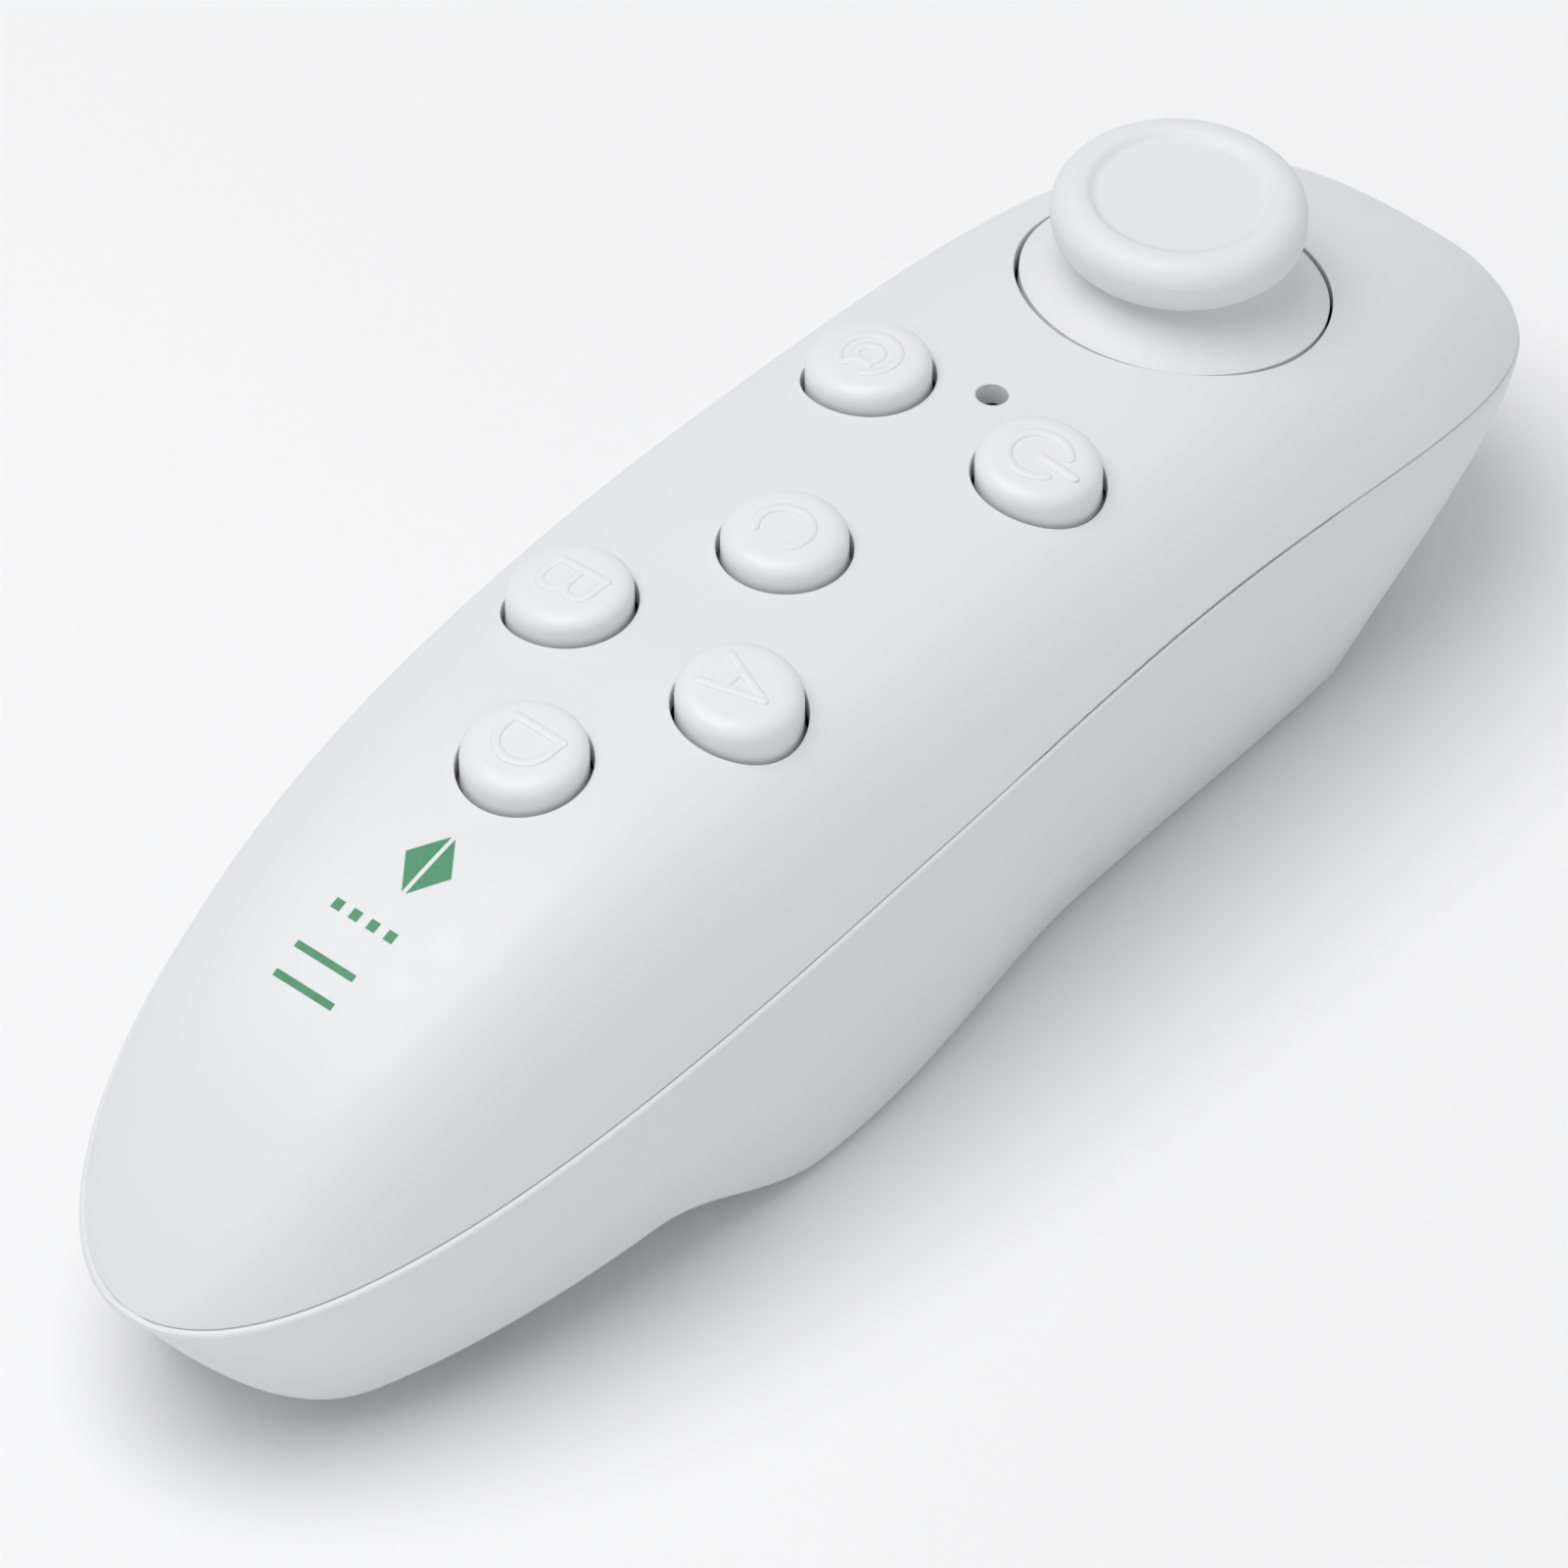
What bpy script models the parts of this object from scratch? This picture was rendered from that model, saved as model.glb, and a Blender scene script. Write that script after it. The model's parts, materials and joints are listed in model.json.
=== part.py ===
"""One-handed motion controller with a thumbstick, six keys, two triggers and a battery bay.

+X is the nose, where the stick is, +Y is the left side and +Z is up. The origin is on the
ground, under the middle of the length. Sizes are in millimetres and become metres in place().
"""

import math

import bmesh
import bpy
from mathutils import Vector

MM = 0.001
GAP = 0.3

# Body outline: a long oval that is blunt at the nose and slimmer at the tail.
TAIL_REACH = 64.7
NOSE_REACH = 61.3
HALF_WIDTH = 18.45
NOSE_SLIMMING = 0.035
TAIL_POWER = 2.9
NOSE_POWER = 6.4
WALL = 1.8

# Parting line: highest at RIM_X, falling as a parabola to both ends.
RIM_Z = 24.5
RIM_X = 12.0
TAIL_FALL = 0.0020
NOSE_FALL = 0.0037

# Crown of the top shell over the parting line, in the middle of the width.
CROWN = 9.25
CROWN_SLOPE = -0.069
CROWN_TAIL_CURVE = 0.0019
CROWN_NOSE_CURVE = 0.0010

# Underside: flat belly, a step up to the tail behind it and a ramp up to the nose before it.
BELLY_REAR = -18.0
BELLY_FRONT = 37.0
TAIL_STEP = 14.0
TAIL_Z = 4.4
TAIL_SAG = 0.09
TAIL_LIFT_X = -53.0
TAIL_LIFT = 0.075
RAMP_ANGLE = math.radians(22.0)
RAMP_END = 58.0
TAIL_INSET = 2.9
REAR_INSET = 2.5
FRONT_INSET = 5.2
WALL_BEND = 1.8
EDGE_RADIUS = 1.4
LIP_TAIL = 0.4
LIP_NOSE = 0.1

# Keys on top: name, x, y.
KEYS = (
    ("d", -27.9, 0.0),
    ("a", -15.7, -7.05),
    ("b", -15.7, 7.05),
    ("c", -3.3, 0.0),
    ("menu", 13.0, 7.1),
    ("power", 13.0, -7.1),
)
KEY_HOLE = 4.37
KEY_RADIUS = 4.07
KEY_PROUD = 1.9
KEY_FLANGE = 4.9
KEY_SHOULDER = 1.1
KEY_BEVEL = 0.35
KEY_STEM = 1.3
FLANGE_THICK = 1.0

# Stick: its pivot, and the round opening above it.
STICK_X = 34.9
PIVOT_Z = 29.1
STICK_HOLE = 10.3
SKIRT_RADIUS = 9.98
SKIRT_WALL = 1.1
SKIRT_LEAN = math.radians(11.6)
CAP_RADIUS = 8.3
CAP_LEAN = math.radians(3.5)
CAP_TOP = 37.1
NECK_RADIUS = 5.9
NECK_BASE = 3.4
BORE_RADIUS = 2.1

LIGHT_X = 16.8
LIGHT_HOLE = 1.05

# Boards and switches.
BOARD_Z = 16.4
BOARD_THICK = 1.6
BOARD_TOP = BOARD_Z + BOARD_THICK
SWITCH_SIDE = 4.5
SWITCH_TALL = 3.4
PLUNGER_RADIUS = 1.5

# Battery bay in the belly.
CELL_RADIUS = 5.25
CELL_LENGTH = 44.5
CELL_REAR = -16.7
CELL_Y = 5.4
CELL_Z = 7.4
BAY_REAR, BAY_FRONT = -18.1, 33.0
BAY_HALF = 10.85
BAY_TOP = 13.0
TRAY_TOP = 14.4
TRAY_WALL = 1.3
COVER_REAR, COVER_FRONT = -19.3, 34.1
COVER_HALF = 10.6
COVER_THICK = 1.5

# Screws.
CASE_SCREWS = ((-43.0, 7.5, 2.9), (-43.0, -7.5, 2.9), (51.9, 0.0, 5.9))
BOARD_SCREWS = ((-35.0, 0.0), (24.5, -10.4))
JOINT_Z = 12.0
SCREW_RADIUS = 0.9
POST_RADIUS = 2.6
BOSS_RADIUS = 2.9
SINK_RADIUS = 2.3
SINK_DEEP = 3.6
CASE_PILOT = 1.35
STAND_RADIUS = 2.3
STAND_PILOT = 1.25
BOARD_HOLE = 1.3

# Trigger keys, measured along the nose ramp from the front of the belly.
TRIGGERS = (("lower", 4.9), ("upper", 10.5))
TRIGGER_LONG = 4.4
TRIGGER_HALF = 5.5
TRIGGER_PROUD = 0.8
TRIGGER_SEAT = 8.8

# Mode slider in the left wall.
SLIDER_X = 0.0
SLIDER_TRAVEL = 4.0
SLIDER_Z = 19.6
SLIDER_INNER = 13.4
KNOB_HALF = 1.9
KNOB_TALL = 0.9
SLIDER_ROOM = 0.5

# Looks: colour, roughness and metallic value.
WHITE = ((0.80, 0.80, 0.80), 0.42, 0.0)
KEY_WHITE = ((0.82, 0.82, 0.82), 0.38, 0.0)
STICK_WHITE = ((0.80, 0.80, 0.81), 0.45, 0.0)
DARK = ((0.03, 0.03, 0.035), 0.45, 0.0)
STEEL = ((0.60, 0.60, 0.62), 0.30, 1.0)
BOARD_GREEN = ((0.02, 0.16, 0.06), 0.40, 0.0)
CLEAR = ((0.75, 0.80, 0.85), 0.10, 0.0)
SLEEVE = ((0.05, 0.18, 0.42), 0.35, 0.0)
RED = ((0.55, 0.03, 0.03), 0.50, 0.0)
BLACK = ((0.02, 0.02, 0.02), 0.50, 0.0)

# The shells take long chains of cuts, which the EXACT solver leaves open.
SHELLS = ("top_shell", "bottom_shell")

STATIONS = 30
ACROSS = 10


def blend(x, start, end):
    """Smooth 0 to 1 as x goes from start to end."""
    t = min(max((x - start) / (end - start), 0.0), 1.0)
    return t * t * (3.0 - 2.0 * t)


def half_width(x, inset=0.0):
    reach = abs(x) / ((TAIL_REACH if x < 0 else NOSE_REACH) - inset)
    power = TAIL_POWER if x < 0 else NOSE_POWER
    full = HALF_WIDTH * (1.0 - NOSE_SLIMMING * blend(x, -8.0, 24.0))
    return (full - inset) * math.sqrt(1.0 - min(reach, 1.0) ** power)


def rim_height(x):
    fall = TAIL_FALL if x < RIM_X else NOSE_FALL
    return RIM_Z - fall * (x - RIM_X) ** 2


def crown_height(x, inset=0.0):
    curve = CROWN_TAIL_CURVE if x < 0 else CROWN_NOSE_CURVE
    full = CROWN + CROWN_SLOPE * x + curve * x * x - inset
    return full * (half_width(x, inset) / (HALF_WIDTH - inset)) ** 2


def top_height(x, y, inset=0.0):
    across = min(abs(y) / max(half_width(x, inset), 1e-6), 1.0)
    return rim_height(x) + crown_height(x, inset) * (1.0 - across**4)


def floor_height(x):
    """Height of the underside over the ground."""
    behind = max(BELLY_REAR - TAIL_STEP - x, 0.0)
    tail = TAIL_Z * blend(-x, -BELLY_REAR, -BELLY_REAR + TAIL_STEP) - TAIL_SAG * behind
    lift = TAIL_LIFT * max(TAIL_LIFT_X - x, 0.0) ** 2
    ramp = math.tan(RAMP_ANGLE) * min(max(x - BELLY_FRONT, 0.0), RAMP_END - BELLY_FRONT)
    return tail + lift + ramp


def foot_inset(x):
    """How far the wall has come in by the time it reaches the underside."""
    tail = (TAIL_INSET - REAR_INSET) * blend(-x, 24.0, 60.0)
    return REAR_INSET + tail + (FRONT_INSET - REAR_INSET) * blend(x, -18.0, 12.0)


def lip(x):
    return LIP_TAIL + (LIP_NOSE - LIP_TAIL) * blend(x, -TAIL_REACH, NOSE_REACH)


def finish(name, look):
    """The object's own material."""
    colour, roughness, metallic = look
    material = bpy.data.materials.new(name)
    material.use_nodes = True
    shader = material.node_tree.nodes["Principled BSDF"]
    shader.inputs["Base Color"].default_value = (*colour, 1.0)
    shader.inputs["Roughness"].default_value = roughness
    shader.inputs["Metallic"].default_value = metallic
    return material


def place(name, verts, faces, look, origin=(0, 0, 0), turn=None):
    """A mesh object from points in millimetres, measured from its own origin."""
    mesh = bpy.data.meshes.new(name)
    mesh.from_pydata([tuple(c * MM for c in v) for v in verts], [], faces)
    shape = bmesh.new()
    shape.from_mesh(mesh)
    bmesh.ops.recalc_face_normals(shape, faces=shape.faces)
    if shape.calc_volume(signed=True) < 0:
        bmesh.ops.reverse_faces(shape, faces=shape.faces)
    shape.to_mesh(mesh)
    shape.free()
    mesh.materials.append(finish(name, look))
    obj = bpy.data.objects.new(name, mesh)
    obj.location = tuple(c * MM for c in origin)
    if turn is not None:
        obj.rotation_euler = turn
    bpy.context.scene.collection.objects.link(obj)
    return obj


def smooth(obj, degrees=35.0):
    obj.data.shade_smooth()
    obj.data.set_sharp_from_angle(angle=math.radians(degrees))
    return obj


def box(name, low, high, look, origin=(0, 0, 0), turn=None):
    """A box between two corners, given from the object's origin."""
    verts = [(x, y, z) for x in (low[0], high[0]) for y in (low[1], high[1]) for z in (low[2], high[2])]
    faces = [(0, 1, 3, 2), (4, 6, 7, 5), (0, 4, 5, 1), (2, 3, 7, 6), (0, 2, 6, 4), (1, 5, 7, 3)]
    return place(name, verts, faces, look, origin, turn)


def turned(name, profile, look, origin=(0, 0, 0), turn=None, steps=20):
    """A solid of revolution about Z. A profile whose ends aren't on the axis is a closed loop."""
    solid = profile[0][0] == 0 and profile[-1][0] == 0
    verts, rows = [], []
    for radius, z in profile:
        if radius == 0:
            rows.append([len(verts)] * steps)
            verts.append((0.0, 0.0, z))
            continue
        rows.append(list(range(len(verts), len(verts) + steps)))
        for k in range(steps):
            angle = 2.0 * math.pi * k / steps
            verts.append((radius * math.cos(angle), radius * math.sin(angle), z))
    pairs = list(zip(rows, rows[1:]))
    if not solid:
        pairs.append((rows[-1], rows[0]))
    faces = []
    for low, high in pairs:
        for k in range(steps):
            ring = (low[k], low[(k + 1) % steps], high[(k + 1) % steps], high[k])
            face = tuple(dict.fromkeys(ring))
            if len(face) > 2:
                faces.append(face)
    return smooth(place(name, verts, faces, look, origin, turn))


def rod(name, radius, low, high, look, origin=(0, 0, 0), turn=None, steps=16):
    profile = ((0, low), (radius, low), (radius, high), (0, high))
    return turned(name, profile, look, origin, turn, steps)


def plate(name, outline, low, high, look, origin=(0, 0, 0), turn=None):
    """An outline in X and Y, extruded from low to high in Z."""
    count = len(outline)
    verts = [(x, y, z) for z in (low, high) for x, y in outline]
    faces = [tuple(range(count))[::-1], tuple(range(count, 2 * count))]
    faces += [(k, (k + 1) % count, (k + 1) % count + count, k + count) for k in range(count)]
    return place(name, verts, faces, look, origin, turn)


def combine(obj, other, operation):
    """Adds or removes a helper solid, which isn't itself a part."""
    other.hide_render = True
    other.display_type = "WIRE"
    modifier = obj.modifiers.new(other.name, "BOOLEAN")
    modifier.operation = operation
    modifier.solver = "MANIFOLD" if obj.name in SHELLS else "EXACT"
    modifier.object = other
    return obj


def cut(obj, other):
    return combine(obj, other, "DIFFERENCE")


def add(obj, other):
    return combine(obj, other, "UNION")


def ring_points(inset_at, height_at):
    """One closed loop round the body: right side from tail to nose, then left side back."""
    points = []
    for k in range(2 * STATIONS):
        lengthwise = -math.cos(math.pi * k / STATIONS)
        reach = TAIL_REACH if lengthwise < 0 else NOSE_REACH
        inset = inset_at(reach * lengthwise)
        x = (reach - inset) * lengthwise
        y = half_width(x, inset) * (-1.0 if k < STATIONS else 1.0)
        points.append((x, y, height_at(x)))
    return points


def bridge(first, second):
    """Faces between two loops of 2 * STATIONS points that start at these indices."""
    count = 2 * STATIONS
    return [(first + k, first + (k + 1) % count, second + (k + 1) % count, second + k) for k in range(count)]


def close(verts, faces, loop, height):
    """Fills a loop with a grid across the body. height(x, y) gives the surface."""
    rows = [[loop]]
    for k in range(1, STATIONS):
        right, left = loop + k, loop + 2 * STATIONS - k
        x, side = verts[right][0], -verts[right][1]
        row = [right]
        for j in range(1, ACROSS):
            y = side * math.sin(math.pi * (j / ACROSS - 0.5))
            row.append(len(verts))
            verts.append((x, y, height(x, y)))
        row.append(left)
        rows.append(row)
    rows.append([loop + STATIONS])
    for here, there in zip(rows, rows[1:]):
        for j in range(ACROSS):
            quad = (here[min(j, len(here) - 1)], there[min(j, len(there) - 1)])
            quad += (there[min(j + 1, len(there) - 1)], here[min(j + 1, len(here) - 1)])
            faces.append(tuple(dict.fromkeys(quad)))


def top_shell(look):
    verts = ring_points(lambda x: 0.0, lambda x: rim_height(x) + GAP / 2)
    verts += ring_points(lambda x: WALL, lambda x: rim_height(x) + GAP / 2)
    faces = bridge(0, 2 * STATIONS)
    close(verts, faces, 0, lambda x, y: top_height(x, y) + GAP / 2)
    close(verts, faces, 2 * STATIONS, lambda x, y: top_height(x, y, WALL) + GAP / 2)
    shell = smooth(place("top_shell", verts, faces, look))
    for x, y, _ in CASE_SCREWS:
        downhill = x + math.copysign(POST_RADIUS * 0.7, x)
        reach = top_height(downhill, y + math.copysign(POST_RADIUS * 0.7, y), WALL) + 0.6
        post = rod(f"helper_post_{x:.0f}_{y:.0f}", POST_RADIUS, JOINT_Z + GAP, reach, look, (x, y, 0))
        add(shell, post)
        pilot = rod(f"helper_pilot_{x:.0f}_{y:.0f}", CASE_PILOT, JOINT_Z - 1, reach - 2.2, look, (x, y, 0))
        cut(shell, pilot)
    for name, x, y in KEYS:
        cut(shell, rod(f"helper_hole_{name}", KEY_HOLE, 20, 40, look, (x, y, 0), steps=24))
    cut(shell, rod("helper_hole_stick", STICK_HOLE, 18, 40, look, (STICK_X, 0, 0), steps=48))
    cut(shell, rod("helper_hole_light", LIGHT_HOLE, 24, 40, look, (LIGHT_X, 0, 0), steps=12))
    return shell


def wall_rings(wall):
    """Loops from the parting line down to the underside, wall millimetres inside the skin."""
    def ring(drop, extra, rise):
        def inset(x):
            edge = -lip(x) * (1.0 - drop) if wall == 0 else 0.0
            return wall + edge + (foot_inset(x) - EDGE_RADIUS * 0.3) * drop**WALL_BEND + extra

        def height(x):
            top, bottom = rim_height(x) - GAP / 2, floor_height(x) + wall + EDGE_RADIUS
            return top + (bottom - top) * drop - rise

        return ring_points(inset, height)

    verts = []
    levels = (0.0, 0.35, 0.7, 1.0) if wall == 0 else (0.0, 0.5, 1.0)
    for drop in levels:
        verts += ring(drop, 0.0, 0.0)
    turns = (40.0, 90.0) if wall == 0 else (90.0,)
    for degrees in turns:
        angle = math.radians(degrees)
        verts += ring(1.0, EDGE_RADIUS * (1 - math.cos(angle)), EDGE_RADIUS * math.sin(angle))
    return verts, len(levels) + len(turns)


def bottom_shell(look):
    loop = 2 * STATIONS
    verts, outer = wall_rings(0.0)
    inner_verts, inner = wall_rings(WALL)
    verts += inner_verts
    faces = bridge(0, outer * loop)
    for k in range(outer - 1):
        faces += bridge(k * loop, (k + 1) * loop)
    for k in range(outer, outer + inner - 1):
        faces += bridge(k * loop, (k + 1) * loop)
    close(verts, faces, (outer - 1) * loop, lambda x, y: floor_height(x))
    close(verts, faces, (outer + inner - 1) * loop, lambda x, y: floor_height(x) + WALL)
    shell = smooth(place("bottom_shell", verts, faces, look))

    ledge = COVER_THICK + GAP + 0.1
    tray_low = (BAY_REAR - TRAY_WALL, -BAY_HALF - TRAY_WALL, 0.9)
    tray_high = (BAY_FRONT + TRAY_WALL, BAY_HALF + TRAY_WALL, TRAY_TOP)
    add(shell, box("helper_tray", tray_low, tray_high, look))
    for x, y, z in CASE_SCREWS:
        boss = rod(f"helper_boss_{x:.0f}_{y:.0f}", BOSS_RADIUS, z + 1.0, JOINT_Z - GAP, look, (x, y, 0))
        add(shell, boss)
    for k, (x, y) in enumerate(BOARD_SCREWS):
        low = TRAY_TOP - 0.6 if x > 0 else floor_height(x) + 1.0
        at = (x, y, 0)
        add(shell, rod(f"helper_stand_{k}", STAND_RADIUS, low, BOARD_Z - GAP, look, at, steps=12))
        pilot = rod(f"helper_stand_pilot_{k}", STAND_PILOT, BOARD_Z - 2.4, BOARD_Z + 1, look, at, steps=10)
        cut(shell, pilot)
    cut(shell, box("helper_bay", (BAY_REAR, -BAY_HALF, -1), (BAY_FRONT, BAY_HALF, BAY_TOP), look))
    mouth_low = (COVER_REAR - GAP, -COVER_HALF - GAP, -1)
    mouth_high = (COVER_FRONT + GAP, COVER_HALF + GAP, ledge)
    cut(shell, box("helper_bay_mouth", mouth_low, mouth_high, look))
    for x, y, z in CASE_SCREWS:
        cut(shell, rod(f"helper_sink_{x:.0f}_{y:.0f}", SINK_RADIUS, z - 4, z + SINK_DEEP, look, (x, y, 0)))
        cut(shell, rod(f"helper_way_{x:.0f}_{y:.0f}", CASE_PILOT, z, JOINT_Z + 1, look, (x, y, 0)))
    for name, along in TRIGGERS:
        low = (along - TRIGGER_LONG / 2 - GAP, -TRIGGER_HALF - GAP, -3.0)
        high = (along + TRIGGER_LONG / 2 + GAP, TRIGGER_HALF + GAP, 3.0)
        cut(shell, box(f"helper_slot_{name}", low, high, look, (BELLY_FRONT, 0, 0), (0, -RAMP_ANGLE, 0)))
    room = KNOB_HALF + SLIDER_ROOM
    low = (SLIDER_X - room, 13.0, SLIDER_Z - KNOB_TALL - GAP)
    high = (SLIDER_X + SLIDER_TRAVEL + room, 21.0, SLIDER_Z + KNOB_TALL + GAP)
    cut(shell, box("helper_slider_slot", low, high, look))
    return shell


def key(name, x, y, look):
    """A round key: a cap with a soft edge, a flange under the shell and a stem down to its switch."""
    top = top_height(x, y) + KEY_PROUD
    steps = [KEY_FLANGE * way for way in (-1, 0, 1)]
    under = min(top_height(x + dx, y + dy, WALL) for dx in steps for dy in steps)
    flange = under - 0.6
    stem = BOARD_TOP + SWITCH_TALL + 2.6
    foot = flange - FLANGE_THICK
    profile = [(0, stem), (KEY_STEM, stem), (KEY_STEM, foot), (KEY_FLANGE, foot), (KEY_FLANGE, flange)]
    profile += [(KEY_RADIUS, flange), (KEY_RADIUS, top - KEY_SHOULDER)]
    profile += [(KEY_RADIUS - KEY_BEVEL, top - KEY_BEVEL), (KEY_RADIUS - KEY_SHOULDER, top), (0, top)]
    local = [(r, z - top) for r, z in profile]
    turned(f"button_{name}", local, look, (x, y, top), steps=24)


def switch(name, origin, turn, body, plunger):
    """A tact switch that stands on its origin, with a separate plunger in its bore."""
    half = SWITCH_SIDE / 2
    case = box(f"switch_{name}", (-half, -half, GAP), (half, half, SWITCH_TALL), body, origin, turn)
    bore = rod(f"helper_bore_{name}", PLUNGER_RADIUS + GAP, 1.2, SWITCH_TALL + 1, body, origin, turn, 12)
    cut(case, bore)
    low, high = SWITCH_TALL - 0.8, SWITCH_TALL + 2.2
    rod(f"plunger_{name}", PLUNGER_RADIUS, low, high, plunger, origin, turn, 12)


def stick(cap_look, dark, steel):
    """Cap and neck, joined to a bell skirt that leans with the shell.

    The skirt's edge is part of a ball about the pivot, so it clears the opening at every angle.
    """
    pivot = (STICK_X, 0, PIVOT_Z)
    top = CAP_TOP - PIVOT_Z

    def on_ball(radius, heights):
        return [(math.sqrt(radius**2 - z**2), z) for z in heights]

    profile = [(0, top - 0.5), (5.6, top - 0.5), (6.3, top), (7.2, top - 0.1)]
    profile += [(CAP_RADIUS, top - 1.3), (CAP_RADIUS, top - 2.4), (7.3, top - 3.7), (NECK_RADIUS, top - 4.0)]
    profile += [(NECK_RADIUS, NECK_BASE), (BORE_RADIUS, NECK_BASE), (BORE_RADIUS, 5.8), (0, 5.8)]
    cap = turned("stick_cap", profile, cap_look, pivot, (0, CAP_LEAN, 0), steps=32)
    bell = [(4.2, 4.9), (5.9, 4.4), (6.4, 3.2), (7.1, 2.1), (8.0, 1.2), (9.1, 0.5)]
    bell += on_ball(SKIRT_RADIUS, (0.1, -1.6, -3.2)) + on_ball(SKIRT_RADIUS - SKIRT_WALL, (-3.2, -1.0))
    bell += [(7.6, 0.2), (6.6, 1.3), (5.6, 2.4), (4.2, 3.3)]
    add(cap, turned("helper_bell", bell, cap_look, pivot, (0, SKIRT_LEAN, 0), steps=40))

    rod("stick_shaft", 1.6, -3.0, 5.4, steel, pivot, (0, CAP_LEAN, 0), steps=14)
    half, hole = 2.9, 2.1
    frame = box("stick_gimbal", (-half, -half, -0.5), (half, half, 0.5), dark, pivot)
    cut(frame, box("helper_gimbal_hole", (-hole, -hole, -2), (hole, hole, 2), dark, pivot))

    low = BOARD_TOP + GAP - PIVOT_Z
    shelf, half = low + 2.9, 7.2
    tower, tower_top, well = 3.8, 0.3, 3.3
    housing = box("stick_housing", (-half, -half, low), (half, half, shelf), dark, pivot)
    add(housing, box("helper_tower", (-tower, -tower, shelf - 0.5), (tower, tower, tower_top), dark, pivot))
    cut(housing, box("helper_well", (-well, -well, low - 1), (well, well, tower_top + 1), dark, pivot))
    box("pot_roll", (half + GAP, -4.0, low), (half + 2.3, 4.0, shelf - 0.4), dark, pivot)
    box("pot_pitch", (-4.0, half + GAP, low), (4.0, half + 2.3, shelf - 0.4), dark, pivot)
    coil("stick_spring", steel, (STICK_X, 0, PIVOT_Z + 1.5), 2.5, 0.22, 1.2, 2)


def coil(name, look, origin, radius, wire, height, turns, turn=None):
    """A wire coil about Z that starts at the origin and rises to height."""
    curve = bpy.data.curves.new(name, "CURVE")
    curve.dimensions = "3D"
    curve.bevel_depth = wire * MM
    curve.bevel_resolution = 0
    curve.use_fill_caps = True
    spline = curve.splines.new("POLY")
    count = turns * 10
    spline.points.add(count)
    for k, point in enumerate(spline.points):
        angle = 2.0 * math.pi * k / 10
        rise = height * k / count
        place_mm = (radius * math.cos(angle), radius * math.sin(angle), rise)
        point.co = (*(c * MM for c in place_mm), 1.0)
    curve.materials.append(finish(name, look))
    obj = bpy.data.objects.new(name, curve)
    obj.location = tuple(c * MM for c in origin)
    if turn is not None:
        obj.rotation_euler = turn
    bpy.context.scene.collection.objects.link(obj)
    return obj


def wire(name, points, radius, look):
    """A lead through these points, as a smooth bent wire."""
    curve = bpy.data.curves.new(name, "CURVE")
    curve.dimensions = "3D"
    curve.bevel_depth = radius * MM
    curve.bevel_resolution = 1
    curve.resolution_u = 5
    curve.use_fill_caps = True
    spline = curve.splines.new("BEZIER")
    spline.bezier_points.add(len(points) - 1)
    for knot, point in zip(spline.bezier_points, points):
        knot.co = tuple(c * MM for c in point)
        knot.handle_left_type = knot.handle_right_type = "AUTO"
    curve.materials.append(finish(name, look))
    obj = bpy.data.objects.new(name, curve)
    bpy.context.scene.collection.objects.link(obj)
    return obj


def screw(name, origin, head_radius, head_tall, length, up):
    """A pan-head screw with its origin on the head's outer face. Its shaft points up (1) or down (-1)."""
    base, end = up * head_tall, up * (head_tall + length)
    profile = [(0, 0), (head_radius * 0.8, 0), (head_radius, base / 2), (head_radius, base)]
    profile += [(SCREW_RADIUS, base), (SCREW_RADIUS, end), (0, end)]
    body = turned(name, profile, STEEL, origin, steps=14)
    cut(body, box(f"helper_slot_{name}", (-1.1, -0.25, -0.5), (1.1, 0.25, 0.5), STEEL, origin))


def boards(green, dark, steel, clear):
    outline = [(-38.6, -8.8), (-30.0, -12.2), (-24.0, -12.8), (46.5, -12.8), (49.0, -10.3)]
    outline += [(49.0, 10.3), (46.5, 12.8), (7.6, 12.8), (7.6, 9.0), (-3.6, 9.0), (-3.6, 12.8)]
    outline += [(-24.0, 12.8), (-30.0, 12.2), (-38.6, 8.8)]
    board = plate("main_board", outline, BOARD_Z, BOARD_TOP, green)
    for k, (x, y) in enumerate(BOARD_SCREWS):
        low, high = BOARD_Z - 1, BOARD_TOP + 1
        cut(board, rod(f"helper_board_hole_{k}", BOARD_HOLE, low, high, green, (x, y, 0), steps=12))
    seat = BOARD_TOP + GAP
    box("bluetooth_chip", (-2.5, -2.5, 0), (2.5, 2.5, 0.9), dark, (5.0, -3.4, seat))
    box("crystal", (-1.6, -1.25, 0), (1.6, 1.25, 0.8), steel, (5.0, 2.6, seat))
    box("status_led", (-0.8, -0.6, 0), (0.8, 0.6, 0.7), clear, (LIGHT_X, 0, seat))
    pipe_top = top_height(LIGHT_X, 0) - WALL - GAP
    rod("light_pipe", LIGHT_HOLE - GAP, seat + 1.0, pipe_top, clear, (LIGHT_X, 0, 0), steps=12)


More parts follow.
